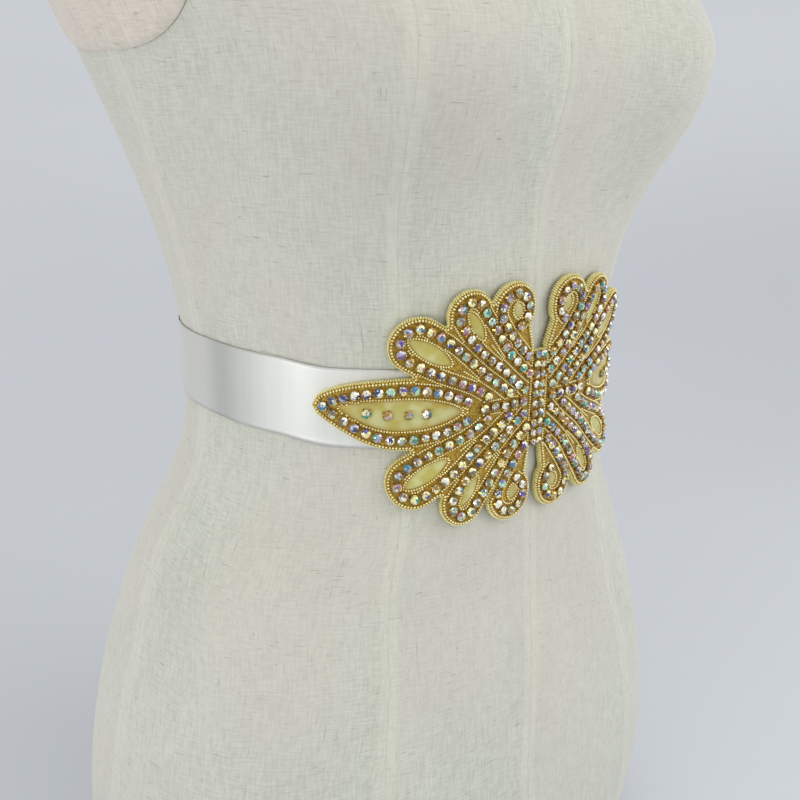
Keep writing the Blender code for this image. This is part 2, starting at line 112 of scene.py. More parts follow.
BUST_BELOW = 66.0
BUST_FULLNESS = 2.2
BUST_VALLEY = 0.45
GIRTH_POINTS = 721
NORMAL_REACH = 1.5

# Linen cover: its seams run up the form, each a share of the way from front to back.
# The front seam is a distance towards the wearer's right.
SeamRow = namedtuple("SeamRow", "height front princess side back_princess")
SEAM_ROWS = [
    SeamRow(0, 6, 0.196, 0.506, 0.76),
    SeamRow(127, 7, 0.196, 0.506, 0.76),
    SeamRow(194, -4, 0.190, 0.508, 0.77),
    SeamRow(237, -7, 0.197, 0.535, 0.78),
    SeamRow(330, 1, 0.205, 0.556, 0.79),
    SeamRow(406, 5, 0.209, 0.53, 0.785),
    SeamRow(453, 11, 0.213, 0.52, 0.78),
    SeamRow(505, 13, 0.206, 0.51, 0.775),
    SeamRow(560, 7, 0.225, 0.50, 0.76),
    SeamRow(655, 1, 0.30, 0.50, 0.70),
    SeamRow(710, 0, 0.29, 0.50, 0.71),
    SeamRow(775, 0, 0.28, 0.50, 0.72),
]
# Steps across a seam, each a distance beside it: its rise, its painted shade along the groove, and how pale its
# seam allowance is.
SeamStep = namedtuple("SeamStep", "beside rise hollow pale")
SEAM_STEPS = [
    SeamStep(0.0, -0.12, 1.0, 0.6),
    SeamStep(0.4, 0.05, 0.0, 1.0),
    SeamStep(4.2, 0.12, 0.0, 0.8),
    SeamStep(5.6, 0.0, 0.0, 0.0),
]
PANEL_COLUMNS = 26
FORM_ROWS = 210

# Armhole plates
ARMHOLE_HEIGHT = 546.0
ARMHOLE_HALF_HEIGHT = 65.0
ARMHOLE_CENTRE = 8.0
ARMHOLE_HALF_WIDTH = 72.0
ARMHOLE_POWER = 3.0
PlateStep = namedtuple("PlateStep", "share rise")
PLATE_STEPS = [
    PlateStep(0.0, 1.0), PlateStep(0.15, 1.0), PlateStep(0.3, 1.0), PlateStep(0.45, 1.0),
    PlateStep(0.6, 1.0), PlateStep(0.75, 1.0), PlateStep(0.87, 1.0), PlateStep(0.94, 0.98),
    PlateStep(0.975, 0.8), PlateStep(0.992, 0.45), PlateStep(1.0, -0.05), PlateStep(0.992, -0.3),
    PlateStep(0.97, -0.2), PlateStep(0.8, 0.0), PlateStep(0.4, 0.0), PlateStep(0.0, 0.0),
]

# Ribbon
RIBBON_WIDTH = 38.0
RIBBON_CLOTH = 0.45
RIBBON_COLUMNS = 300
RIBBON_ROWS = 22
GATHER_LENGTH = 45.0
GATHERED_WIDTH = 22.0
RIBBON_DIP = 2.6
DIP_FROM = 136.0
DIP_TO = 106.0
PLEAT_DEPTH = 1.3
KNOT_WIDTH = 25.0
KNOT_HEIGHT = 29.0
KNOT_DEPTH = 13.0
TAIL_LENGTH = 185.0
TAIL_SLANT = 16.0
TAIL_TOP_WIDTH = 11.5
TAIL_SPREAD = 33.0
TAIL_FLARE = 55.0
TAIL_COLUMNS = 22
TAIL_ROWS = 100

# Soft ridges and troughs in the ribbon, each at a distance round from the front and up
Crease = namedtuple("Crease", "around rise length width slant depth")
RIBBON_CREASES = [
    Crease(205, -4, 26, 9, 4, 0.55),
    Crease(228, 3, 22, 6, -8, -0.35),
    Crease(246, -12, 10, 12, 20, 1.5),
    Crease(160, 6, 18, 14, -3, 0.3),
    Crease(286, 2, 20, 8, 14, 0.7),
    Crease(268, -5, 14, 5, -12, 0.45),
    Crease(-176, 2, 24, 11, 5, 0.5),
    Crease(-214, -3, 18, 7, -10, -0.3),
    Crease(-238, 10, 11, 12, -18, 1.1),
    Crease(-281, -2, 20, 7, -12, 0.7),
    Crease(-259, 6, 12, 5, 16, 0.4),
]

# Bands across the ribbon with painted shade, where its satin is painted darker as if it shone less
PaintedShadeBand = namedtuple("PaintedShadeBand", "around width depth")
PAINTED_SHADE_BANDS = [
    PaintedShadeBand(110, 8, 0.3),
    PaintedShadeBand(150, 9, 0.2),
    PaintedShadeBand(171, 15, 0.9),
    PaintedShadeBand(208, 26, 0.36),
    PaintedShadeBand(246, 12, 0.5),
    PaintedShadeBand(-150, 11, 0.7),
    PaintedShadeBand(-206, 16, 0.4),
    PaintedShadeBand(-247, 10, 0.5),
]

# Applique, laid out flat: across from the centre of the sash, and up from its own axis
APPLIQUE_DROP = 4.5
STONE_PITCH = 5.5
STONE_ROW_WIDTH = 5.0
ROW_SPACING = 7.7
EDGE_MARGIN = 4.9
AXIS_CLEARANCE = 5.6
CROTCH_FILL = 1.6
COLUMN_HALF_WIDTH = 4.5
COLUMN_HALF_HEIGHT = 22.4
COLUMN_PITCH = 4.9
COLUMN_MARGIN = 1.6
HUB_HALF_WIDTH = 44.0
HUB_HALF_HEIGHT = 23.0
MIDRIB_START = 10.5
MIDRIB_END = 34.0
LEAF_START = 36.0
LEAF_END = 108.5
LEAF_HALF_WIDTH = 12.0
LEAF_FULLNESS = 0.8
LEAF_LIFT = 4.0
LEAF_LIFT_FROM = 78.0
LEAF_LIFT_TO = 112.0
Petal = namedtuple("Petal", "name root_x root_y bend_x bend_y cap_x cap_y cap_radius belly_from")
PETALS = [
    Petal("petal_1", 19.0, 0.5, 37.0, 15.0, 68.5, 33.0, 8.0, 0.35),
    Petal("petal_2", 7.5, 9.0, 30.3, 25.9, 44.2, 46.0, 6.3, 0.25),
]
Curl = namedtuple("Curl", "name root_x root_y ring_x ring_y ring_radius neck turn")
CURL_UPPER = Curl("curl", 8.8, 22.6, 19.5, 46.0, 8.3, 12.0, 280.0)
CURL_LOWER = Curl("curl", 8.8, 22.6, 16.4, 46.5, 8.5, 14.0, 274.0)

# Finer trimmings of the applique
BACKING_BOTTOM = 1.5
WRAP_STEP = 5.0
OUTLINE_STEP = 1.3
STITCH_PITCH = 1.2
STITCH_LEAN = 16.0
RIM_INSET = 1.15
RIM_PITCH = 1.5
RIM_RADIUS = 0.74
BEAD_PITCH = 1.3
BEAD_RADIUS = 0.62
BEAD_LINE = 3.25
BEAD_CLEARANCE = 1.05
STONE_CLEARANCE = 2.85
STONE_TURN = 20.0
STONE_TILT = 7.0
COLUMN_STONE_ACROSS = 2.15
COLUMN_STONE_SCALE = 0.88
INLAY_RISE = 0.45
Almond = namedtuple("Almond", "name across up length width heading amber")
ALMONDS = [
    Almond("leaf", 73.5, 0.0, 56.0, 15.5, 0.0, 0.16),
    Almond("petal_1", 62.5, 29.3, 25.0, 8.0, 31.0, 0.0),
    Almond("petal_2", 41.0, 40.6, 17.0, 5.6, 56.0, 0.16),
    Almond("curl", 17.4, 45.6, 8.6, 6.6, 66.0, 0.45),
]
LEAF_SINGLE_STONES = [89.5, 80.5, 71.0, 63.0]

# Camera, fitted to the photograph's outline
CAMERA_AZIMUTH = -40.7
CAMERA_ELEVATION = 13.41
CAMERA_DISTANCE = 565.94
CAMERA_YAW = -0.436
CAMERA_PITCH = -3.114
CAMERA_ROLL = -1.423
CAMERA_LENS = 44.5


# Shader nodes


class Value:
    """A node's socket that Python's operators work on, each adding its Math node."""

    def __init__(self, finish, socket):
        self.finish = finish
        self.socket = socket

    def maths(self, operation, first, second):
        return self.finish.node("ShaderNodeMath", {"operation": operation}, {0: first, 1: second})

    def __add__(self, other):
        return self.maths("ADD", self, other)

    def __sub__(self, other):
        return self.maths("SUBTRACT", self, other)

    def __rsub__(self, other):
        return self.maths("SUBTRACT", other, self)

    def __mul__(self, other):
        return self.maths("MULTIPLY", self, other)

    __radd__ = __add__
    __rmul__ = __mul__


class Finish:
    """A material, its shader and the nodes that are added before it."""

    def __init__(self, name):
        self.material = bpy.data.materials.new(name)
        self.material.use_nodes = True
        self.tree = self.material.node_tree
        self.shader = self.tree.nodes["Principled BSDF"]

    def feed(self, socket, value):
        if isinstance(value, Value):
            self.tree.links.new(value.socket, socket)
        else:
            socket.default_value = value

    def node(self, kind, settings, inputs, output=0):
        made = self.tree.nodes.new(kind)
        for key, value in settings.items():
            setattr(made, key, value)
        for key, value in inputs.items():
            self.feed(made.inputs[key], value)
        return Value(self, made.outputs[output])

    def set(self, **values):
        for key, value in values.items():
            self.feed(self.shader.inputs[key.replace("_", " ")], value)

    def attribute(self, name, output=2):
        return self.node("ShaderNodeAttribute", {"attribute_name": name}, {}, output)

    def flat_place(self):
        """The pattern's place along and up the cloth, in metres."""
        place = self.node("ShaderNodeUVMap", {"uv_map": "UVMap"}, {})
        parts = self.tree.nodes.new("ShaderNodeSeparateXYZ")
        self.feed(parts.inputs[0], place)
        return Value(self, parts.outputs[0]), Value(self, parts.outputs[1])

    def solid_place(self):
        return self.node("ShaderNodeTexCoord", {}, {}, 3)

    def join(self, x, y, z=0.0):
        return self.node("ShaderNodeCombineXYZ", {}, {0: x, 1: y, 2: z})

    def noise(self, place, scale=1.0, detail=2.0, roughness=0.5):
        inputs = {"Vector": place, "Scale": scale, "Detail": detail, "Roughness": roughness}
        return self.node("ShaderNodeTexNoise", {}, inputs)

    def between(self, value, low, high):
        """How far a value has come from low to high, from 0 to 1."""
        settings = {"interpolation_type": "SMOOTHSTEP"}
        inputs = {"Value": value, "From Min": low, "From Max": high}
        return self.node("ShaderNodeMapRange", settings, inputs)

    def mix(self, first, second, factor):
        inputs = {0: factor, 6: first, 7: second}
        return self.node("ShaderNodeMix", {"data_type": "RGBA"}, inputs, 2)

    def bump(self, height, distance, strength=1.0):
        """Bumps of a height in millimetres."""
        inputs = {"Height": height, "Distance": distance * MM, "Strength": strength}
        self.set(Normal=self.node("ShaderNodeBump", {}, inputs))


def colour(red, green, blue):
    return (red, green, blue, 1.0)


def linen_finish(name, light, dark, warm):
    """Plain-woven linen: uneven threads both ways with darker slubs, paler over its seams, with painted shade
    along each seam's groove.
    """
    finish = Finish(name)
    along, up = finish.flat_place()
    across_threads = finish.noise(finish.join(along * 130.0, up * 1000.0), detail=3.0)
    up_threads = finish.noise(finish.join(along * 1000.0, up * 130.0, 7.3), detail=3.0)
    cloudy = finish.noise(finish.join(along * 24.0, up * 15.0, 3.1), detail=3.0)
    blush = finish.between(finish.noise(finish.join(along * 9.0, up * 6.0, 5.2), detail=2.0), 0.36, 0.64)
    slub_across = finish.between(finish.noise(finish.join(along * 125.0, up * 1350.0, 1.7)), 0.685, 0.76)
    slub_up = finish.between(finish.noise(finish.join(along * 1350.0, up * 125.0, 5.9)), 0.69, 0.76)
    long_slub = finish.between(finish.noise(finish.join(along * 45.0, up * 1400.0, 9.2)), 0.71, 0.78)
    tall_slub = finish.between(finish.noise(finish.join(along * 1400.0, up * 40.0, 2.6)), 0.71, 0.78)
    weave = across_threads * 0.5 + up_threads * 0.5
    shade = finish.between(weave, 0.3, 0.7)
    tone = finish.mix(dark, light, shade * 0.9 + cloudy * 0.7 + -0.2)
    tinted = finish.mix(tone, warm, blush * 0.42)
    slubs = slub_across * 0.5 + slub_up * 0.45 + long_slub * 0.4 + tall_slub * 0.4
    speckled = finish.mix(tinted, colour(0.24, 0.21, 0.16), slubs)
    allowance = finish.mix(speckled, colour(0.78, 0.765, 0.66), finish.attribute("pale") * 0.24)
    # Painted shade darkens the cloth along each seam's groove.
    finish.set(Base_Color=finish.mix(allowance, colour(0.36, 0.33, 0.26), finish.attribute("hollow") * 0.18))
    finish.set(Roughness=0.92, Sheen_Weight=0.45, Sheen_Roughness=0.45, Specular_IOR_Level=0.25)
    finish.bump(weave + slubs * 0.7, 0.5, 0.5)
    return finish.material


def satin_finish():
    """Ivory satin: fine ribs across the ribbon, a soft gloss, and slow waves in its shine painted into its colour
    as painted sheen and shade, darkened further by the ribbon's painted shade.
    """
    finish = Finish("ivory_satin")
    along, up = finish.flat_place()
    ribs = finish.noise(finish.join(along * 1500.0, up * 60.0), detail=2.0)
    streaks = finish.noise(finish.join(along * 330.0, up * 7.0, 6.0), detail=2.0)
    waves = finish.noise(finish.join(along * 38.0, up * 9.0, 2.0), detail=2.0)
    painted_sheen_clouds = finish.noise(finish.join(along * 14.0, up * 20.0, 4.0), detail=2.0)
    edge = finish.attribute("hollow")
    # Painted sheen and shade: the ivory is lighter and darker in soft clouds and streaks across the ribbon.
    tone = finish.mix(colour(0.68, 0.69, 0.655), colour(0.81, 0.815, 0.785), painted_sheen_clouds * 0.5 + streaks * 0.5)
    # The attribute read as edge carries painted shade in folds and bands, and darkens the ribbon's edges.
    finish.set(Base_Color=finish.mix(tone, colour(0.40, 0.41, 0.385), edge * 0.72))
    finish.set(Roughness=0.40 + 0.12 * ribs, Metallic=0.4, Specular_IOR_Level=0.6)
    finish.set(Sheen_Weight=0.1, Sheen_Roughness=0.4)
    finish.bump(waves * 2.6 + streaks * 0.25 + ribs * 0.1, 0.5, 0.5)
    return finish.material


def gold_finish(name, deep, pale, roughness, metallic):
    """Gold beads and metal, a little different from one bead to the next."""
    finish = Finish(name)
    tint = finish.attribute("tint")
    tarnish = finish.noise(finish.solid_place(), scale=900.0)
    finish.set(Base_Color=finish.mix(deep, pale, tint * 0.75 + tarnish * 0.3))
    finish.set(Roughness=roughness + 0.15 * tarnish, Metallic=metallic)
    return finish.material


def thread_finish(name, deep, pale, roughness):
    """Bright metal thread laid side by side over the applique."""
    finish = Finish(name)
    place = finish.solid_place()
    tint = finish.attribute("tint")
    strands = finish.noise(place, scale=1100.0, detail=3.0)
    patches = finish.noise(place, scale=140.0)
    shine = finish.between(strands, 0.32, 0.68)
    finish.set(Base_Color=finish.mix(deep, pale, shine * 0.6 + patches * 0.25 + tint * 0.25))
    finish.set(Roughness=roughness + 0.2 * strands, Metallic=0.35, Sheen_Weight=0.2)
    finish.bump(strands, 0.25, 0.6)
    return finish.material


def inlay_finish():
    """Yellow satin of the almonds: painted sheen and shade over its folds, amber along their edges, deepened there
    with painted shade.
    """
    finish = Finish("yellow_satin")
    place = finish.solid_place()
    ribs = finish.noise(place, scale=1400.0, detail=2.0)
    folds = finish.noise(place, scale=120.0, detail=1.0)
    rim = finish.attribute("hollow")
    # Painted sheen and shade: the yellow is lighter and darker with the folds.
    fold = finish.between(folds, 0.34, 0.66)
    middle = finish.mix(colour(0.56, 0.50, 0.12), colour(0.70, 0.715, 0.34), fold)
    # Amber along the edges, darkened further with painted shade towards the rim.
    finish.set(Base_Color=finish.mix(middle, colour(0.36, 0.20, 0.015), rim * 0.85))
    finish.set(Roughness=0.26 + 0.15 * ribs, Metallic=0.25, Specular_IOR_Level=0.6)
    finish.bump(ribs * 0.2 + folds * 2.5, 0.5, 0.8)
    return finish.material


def rhinestone_finish():
    """Foil-backed cut glass, whose facets carry painted reflections and glints, and glow faintly in the same
    colours as painted light.
    """
    finish = Finish("rhinestone")
    facet = finish.attribute("facet", 0)
    scratch = finish.noise(finish.solid_place(), scale=2600.0)
    finish.set(Base_Color=facet, Roughness=0.05 + 0.08 * scratch, Metallic=0.8)
    # Painted glow: the facets' painted colours also shine as a faint emission.
    finish.set(Coat_Weight=1.0, Coat_Roughness=0.03, IOR=1.6, Emission_Color=facet, Emission_Strength=0.16)
    return finish.material


def backdrop_finish(name, low, high):
    """A plain pale backdrop, a little darker where it is the floor."""
    finish = Finish(name)
    place = finish.solid_place()
    parts = finish.node("ShaderNodeSeparateXYZ", {}, {0: place}, 2)
    mottle = finish.noise(place, scale=1.1, detail=2.0)
    finish.set(Base_Color=finish.mix(low, high, finish.between(parts, -0.1, 0.7) * 0.8 + mottle * 0.3))
    finish.set(Roughness=0.95, Specular_IOR_Level=0.1)
    return finish.material


# The dress form's surface


def smoothstep(value):
    value = min(max(value, 0.0), 1.0)
    return value * value * (3.0 - 2.0 * value)


def form_ring(height):
    """The form's section at a height, on a smooth curve through the table's rows."""
    heights = [ring.height for ring in FORM_RINGS]
    last = len(FORM_RINGS) - 1
    after = min(max(int(np.searchsorted(heights, height)), 1), last)
    before = after - 1
    lower, upper = FORM_RINGS[before], FORM_RINGS[after]
    below, above = FORM_RINGS[max(before - 1, 0)], FORM_RINGS[min(after + 1, last)]
    span = upper.height - lower.height
    t = (height - lower.height) / span
    values = [height]
    for a, b, c, d in list(zip(below, lower, upper, above))[1:]:
        start = span * (c - a) / (upper.height - below.height)
        end = span * (d - b) / (above.height - lower.height)
        values.append(
            b * (1 + t * t * (2 * t - 3))
            + c * t * t * (3 - 2 * t)
            + start * t * (1 - t) * (1 - t)
            - end * t * t * (1 - t)
        )
    return FormRing(*values)


def bust_rise(x, facing, height):
    """How far the bust stands out in front, where facing is 1 at the front and 0 at the sides."""
    reach = BUST_ABOVE if height > BUST_HEIGHT else BUST_BELOW
    upright = math.exp(-(abs(height - BUST_HEIGHT) / reach) ** BUST_FULLNESS)
    beyond = np.maximum(np.abs(x) - BUST_SPREAD, 0.0) / BUST_HALF_WIDTH
    within = np.minimum(np.abs(x) / BUST_SPREAD, 1.0)
    across = np.exp(-(beyond**BUST_FULLNESS)) - BUST_VALLEY * (1.0 - within**2) ** 2
    share = np.clip(facing / 0.6, 0.0, 1.0)
    return BUST_RISE * upright * across * share * share * (3.0 - 2.0 * share)


def form_outline(height, angles):
    """The form's section as x and y, at angles turned from the front towards the wearer's right."""
    ring = form_ring(height)
    side, facing = np.sin(angles), np.cos(angles)
    power = 2.0 / SECTION_POWER
    x = -ring.half_width * np.sign(side) * np.abs(side) ** power
    depth = np.where(facing > 0, ring.front + ring.centre, ring.back - ring.centre)
    y = ring.centre - depth * np.sign(facing) * np.abs(facing) ** power
    return x, y - bust_rise(x, facing, height)


@functools.cache
def girth_table(level):
    """Points round the wearer's right half at a whole height, with their distance from the front."""
    x, y = form_outline(level, np.linspace(0.0, math.pi, GIRTH_POINTS))
    steps = np.hypot(np.diff(x), np.diff(y))
    return np.concatenate([[0.0], np.cumsum(steps)]), x, y


def level_point(around, level, out):
    distance, x, y = girth_table(level)
    here = min(abs(around), distance[-1])
    near = max(here - NORMAL_REACH, 0.0)
    far = min(here + NORMAL_REACH, distance[-1])
    places = np.array([near, here, far])
    xs, ys = np.interp(places, distance, x), np.interp(places, distance, y)
    along = (xs[2] - xs[0], ys[2] - ys[0])
    if here < NORMAL_REACH:
        along = (-1.0, along[1] * here / NORMAL_REACH)
    if here > distance[-1] - NORMAL_REACH:
        along = (1.0, along[1] * (distance[-1] - here) / NORMAL_REACH)
    length = math.hypot(*along)
    px = xs[1] - out * along[1] / length
    py = ys[1] + out * along[0] / length
    return Vector((-px if around < 0 else px, py, level))


def levels(height):
    low = min(max(math.floor(height), 0), FORM_TOP - 1)
    return low, height - low


def form_point(around, height, out=0.0):
    """A point on the form, a distance round from the front, moved out from its surface."""
    low, share = levels(height)
    return level_point(around, low, out).lerp(level_point(around, low + 1, out), share)


def half_girth(height):
    low, share = levels(height)
    return (1 - share) * girth_table(low)[0][-1] + share * girth_table(low + 1)[0][-1]


def form_side(y, height):
    """The form's half width at a depth y."""
    low, share = levels(height)
    widths = [np.interp(y, girth_table(level)[2], -girth_table(level)[1]) for level in (low, low + 1)]
    return float((1 - share) * widths[0] + share * widths[1])


def form_back(x, height):
    """The form's depth behind its middle at a place x across the back."""
    ring = form_ring(height)
    share = min(abs(x) / ring.half_width, 1.0)
    depth = (ring.back - ring.centre) * (1.0 - share**SECTION_POWER) ** (1.0 / SECTION_POWER)
    return ring.centre + depth


def waist_point(around, rise, out):
    """A point on the sash's bed: the form, bridged flat where the ribbon crosses the waist."""
    half = RIBBON_WIDTH / 2
    if abs(rise) >= half:
        return form_point(around, WAIST + rise, out)
    low = form_point(around, WAIST - half, out)
    high = form_point(around, WAIST + half, out)
    return low.lerp(high, (rise + half) / RIBBON_WIDTH)


def leaf_lift(across):
    """How far the leaves bend up towards their points."""
    return LEAF_LIFT * smoothstep((abs(across) - LEAF_LIFT_FROM) / (LEAF_LIFT_TO - LEAF_LIFT_FROM))


def on_sash(across, up, out):
    """A point over the applique's flat layout, wrapped on the sash's bed."""
    return waist_point(across, up + leaf_lift(across) - APPLIQUE_DROP, out)


# Meshes


def finish_piece(name, bm, materials, angle=40.0):
    """Makes a piece of a mesh, smooth but for edges sharper than an angle, that rides with the form."""
    mesh = bpy.data.meshes.new(name)
    bm.to_mesh(mesh)
    bm.free()
    return place_piece(name, mesh, materials, angle)


def place_piece(name, mesh, materials, angle):
    for material in materials:
        mesh.materials.append(material)
    mesh.shade_smooth()
    mesh.set_sharp_from_angle(angle=math.radians(angle))
    piece = bpy.data.objects.new(name, mesh)
    bpy.context.scene.collection.objects.link(piece)
    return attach(piece, "root")


def shaped_grid(bm, columns, rows, place):
    """Adds a grid whose points a function gives, with their pattern place, their painted shade and their paleness.
    """
    uv = bm.loops.layers.uv.get("UVMap") or bm.loops.layers.uv.new("UVMap")
    for name in ("hollow", "pale"):
        if name not in bm.verts.layers.float:
            bm.verts.layers.float.new(name)
    hollow, pale = bm.verts.layers.float["hollow"], bm.verts.layers.float["pale"]
    made = bmesh.ops.create_grid(bm, x_segments=columns, y_segments=rows, size=0.5)["verts"]
    pattern = {}
    for vert in made:
        point, flat, shade, *rest = place(vert.co.x + 0.5, vert.co.y + 0.5)
        vert.co = point * MM
        vert[hollow] = shade
        vert[pale] = rest[0] if rest else 0.0
        pattern[vert] = Vector(flat) * MM
    for face in {face for vert in made for face in vert.link_faces}:
        for loop in face.loops:
            loop[uv].uv = pattern[loop.vert]


def close_seams(bm):
    bmesh.ops.remove_doubles(bm, verts=bm.verts, dist=0.002 * MM)


def add_cloth_wall(piece, thickness, outwards):
    """Faces a sheet the way that a function gives, and makes a wall on that side."""
    bm = bmesh.new()
    bm.from_mesh(piece.data)
    bmesh.ops.recalc_face_normals(bm, faces=bm.faces)
    if sum(face.normal.dot(outwards(face.calc_center_median())) for face in bm.faces) < 0:
        bmesh.ops.reverse_faces(bm, faces=bm.faces)
    bm.to_mesh(piece.data)
    bm.free()
    wall = piece.modifiers.new("cloth", "SOLIDIFY")
    wall.thickness = thickness * MM
    wall.offset = 1.0


def from_middle(point):
    return Vector((point.x, point.y, 0.0))


# Dress form


@functools.cache
def cover_rows():
    """Whole heights up the form's side, with the length of cloth up to each."""
    heights = np.arange(0, FORM_TOP + 1)
    widths = np.array([form_ring(float(height)).half_width for height in heights])
    steps = np.hypot(np.diff(heights), np.diff(widths))
    return heights, np.concatenate([[0.0], np.cumsum(steps)])


def seam_place(number, height, side):
    """How far round a seam lies at a height: the front one is 0 and the back one 4."""
    heights = [row.height for row in SEAM_ROWS]
    if number == 0:
        return float(np.interp(height, heights, [row.front for row in SEAM_ROWS]))
    if number == 4:
        return side * half_girth(height)
    shares = [row[number + 1] for row in SEAM_ROWS]
    return side * half_girth(height) * float(np.interp(height, heights, shares))


def panel_step(share, width):
    """A column's distance across its panel, and the seam's step there."""
    column = round(share * PANEL_COLUMNS)
    last = len(SEAM_STEPS) - 1
    near = min(column, PANEL_COLUMNS - column)
    if near <= last:
        step = SEAM_STEPS[near]
        return (step.beside if column == near else width - step.beside), step
    inner = SEAM_STEPS[-1].beside
    return inner + (width - 2 * inner) * (column - last) / (PANEL_COLUMNS - 2 * last), SEAM_STEPS[-1]


def build_form(linen):
    bm = bmesh.new()
    heights, cloth = cover_rows()
    for side in (1, -1):
        for panel in range(4):

            def place(across, up):
                length = up * cloth[-1]
                height = float(np.interp(length, cloth, heights))
                start = seam_place(panel, height, side)
                end = seam_place(panel + 1, height, side)
                width = abs(end - start)
                distance, step = panel_step(across, width)
                around = start + side * distance
                point = form_point(around, height, step.rise)
                number = panel + (0 if side > 0 else 4)
                flat = (distance - width / 2 + 500 * number, length + 137 * number)
                return point, flat, step.hollow, step.pale

            shaped_grid(bm, PANEL_COLUMNS, FORM_ROWS, place)
    close_seams(bm)
    uv = bm.loops.layers.uv.verify()
    caps = bmesh.ops.holes_fill(bm, edges=[e for e in bm.edges if e.is_boundary], sides=0)["faces"]
    for face in caps:
        for loop in face.loops:
            loop[uv].uv = loop.vert.co.xy
    bmesh.ops.recalc_face_normals(bm, faces=bm.faces)
    form = finish_piece("linen_form", bm, [linen])
    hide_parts("dress_form")
    return form


def plate_rim(turn):
    """The armhole plate's rim, a squarish oval about its middle."""
    across, up = math.cos(turn), math.sin(turn)
    power = 2.0 / ARMHOLE_POWER
    wide = ARMHOLE_HALF_WIDTH * math.copysign(abs(across) ** power, across)
    high = ARMHOLE_HALF_HEIGHT * math.copysign(abs(up) ** power, up)
    return wide, high


def build_armhole_plate(name, sign, linen):
    bm = bmesh.new()
    last = len(PLATE_STEPS) - 1

    def place(round_share, along):
        step = PLATE_STEPS[round(along * last)]
        across, up = plate_rim(2 * math.pi * round_share)
        y = ARMHOLE_CENTRE + step.share * across
        height = ARMHOLE_HEIGHT + step.share * up
        x = form_side(y, height) + PLATE_GAP + PLATE_WALL * step.rise
        return Vector((sign * x, y, height)), (sign * y + 4500, height), 0.0

    shaped_grid(bm, 96, last, place)
    close_seams(bm)
    bmesh.ops.recalc_face_normals(bm, faces=bm.faces)
    plate = finish_piece("linen_" + name, bm, [linen])
    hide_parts(name)


# Ribbon, tie and tails


def crease_rise(around, rise):
    """How far the ribbon's soft creases lift it from its bed."""
    lift = 0.0
    for crease in RIBBON_CREASES:
        if abs(around - crease.around) > 3 * (crease.length + crease.width):
            continue
        turn = math.radians(crease.slant)
        across, up = around - crease.around, rise - crease.rise
        beside = across * math.cos(turn) + up * math.sin(turn)
        along = up * math.cos(turn) - across * math.sin(turn)
        lift += crease.depth * math.exp(-((beside / crease.width) ** 2) - (along / crease.length) ** 2)
    return lift


def pleat(share, count, shift):
    """Uneven rounded pleats across a gathered width, from 0 in a fold to 1 on its crown."""
    wave = math.sin(2 * math.pi * (count * share + 0.35 * math.sin(5.1 * share + shift)) + shift)
    return (0.5 + 0.5 * wave) ** 0.8


def ribbon_dip(around):
    """How far the ribbon sags below the waist in front."""
    return RIBBON_DIP * smoothstep((DIP_FROM - abs(around)) / (DIP_FROM - DIP_TO))


def build_ribbon(satin):
    reach = half_girth(WAIST) - KNOT_WIDTH / 2 + 3.0
    bm = bmesh.new()

    def place(along, up):
        around = reach * (2 * along - 1)
        gather = smoothstep((abs(around) - (reach - GATHER_LENGTH)) / GATHER_LENGTH)
        width = RIBBON_WIDTH + (GATHERED_WIDTH - RIBBON_WIDTH) * gather
        rise = width * (up - 0.5) - ribbon_dip(around)
        folds = gather * PLEAT_DEPTH * pleat(up, 4, 0.9 + around * 0.004)
        lift = max(crease_rise(around, rise), -0.1)
        point = waist_point(around, rise, SEAM_GAP + 0.15 + folds + lift)
        # Painted shade: deepest in the folds of the gathers and across the shade bands; the ribbon is also darker
        # along its edges.
        edge = 1.0 if abs(up - 0.5) > 0.47 else 0.0
        painted_band_shade = sum(row.depth * math.exp(-(((around - row.around) / row.width) ** 2)) for row in PAINTED_SHADE_BANDS)
        shade = max(gather * (1 - pleat(up, 4, 0.9 + around * 0.004)), edge * 0.4, painted_band_shade)
        return point, (around, RIBBON_WIDTH * up), shade

    shaped_grid(bm, RIBBON_COLUMNS, RIBBON_ROWS, place)
    ribbon = finish_piece("satin_ribbon", bm, [satin], 60.0)
    add_cloth_wall(ribbon, RIBBON_CLOTH, from_middle)
    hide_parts("ribbon_right", "ribbon_left")
    flat = (RIBBON_WIDTH * MM, 2 * reach * MM)
    return ribbon


def build_knot(satin):
    """The tie: a gathered turn of ribbon over the ends that cross at the back."""
    bed = form_back(0.0, WAIST + KNOT_HEIGHT / 3) + SEAM_GAP
    bm = bmesh.new()

    def place(across, up):
        turn = (up - 0.5) * math.pi * 1.04
        side = 2 * across - 1
        waist = 0.86 + 0.14 * abs(math.sin(turn))
        crown = (1 - abs(side) ** 3.2) ** 0.5 * max(math.cos(turn), 0.0) ** 0.6
        fold = pleat(across, 4, 2.2 + 0.8 * math.sin(turn))
        y = bed + crown * (KNOT_DEPTH - 1.6 + 1.5 * fold)
        x = KNOT_WIDTH / 2 * side * waist
        z = WAIST + KNOT_HEIGHT / 2 * math.sin(turn)
        # The last value is painted shade in the pleats' folds.
        return Vector((x, y, z)), (900 + 45 * up, RIBBON_WIDTH * across), 0.7 * (1 - fold)

    shaped_grid(bm, 44, 36, place)
    knot = finish_piece("satin_knot", bm, [satin], 60.0)
    add_cloth_wall(knot, RIBBON_CLOTH, from_middle)
    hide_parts("ribbon_knot")
    return knot


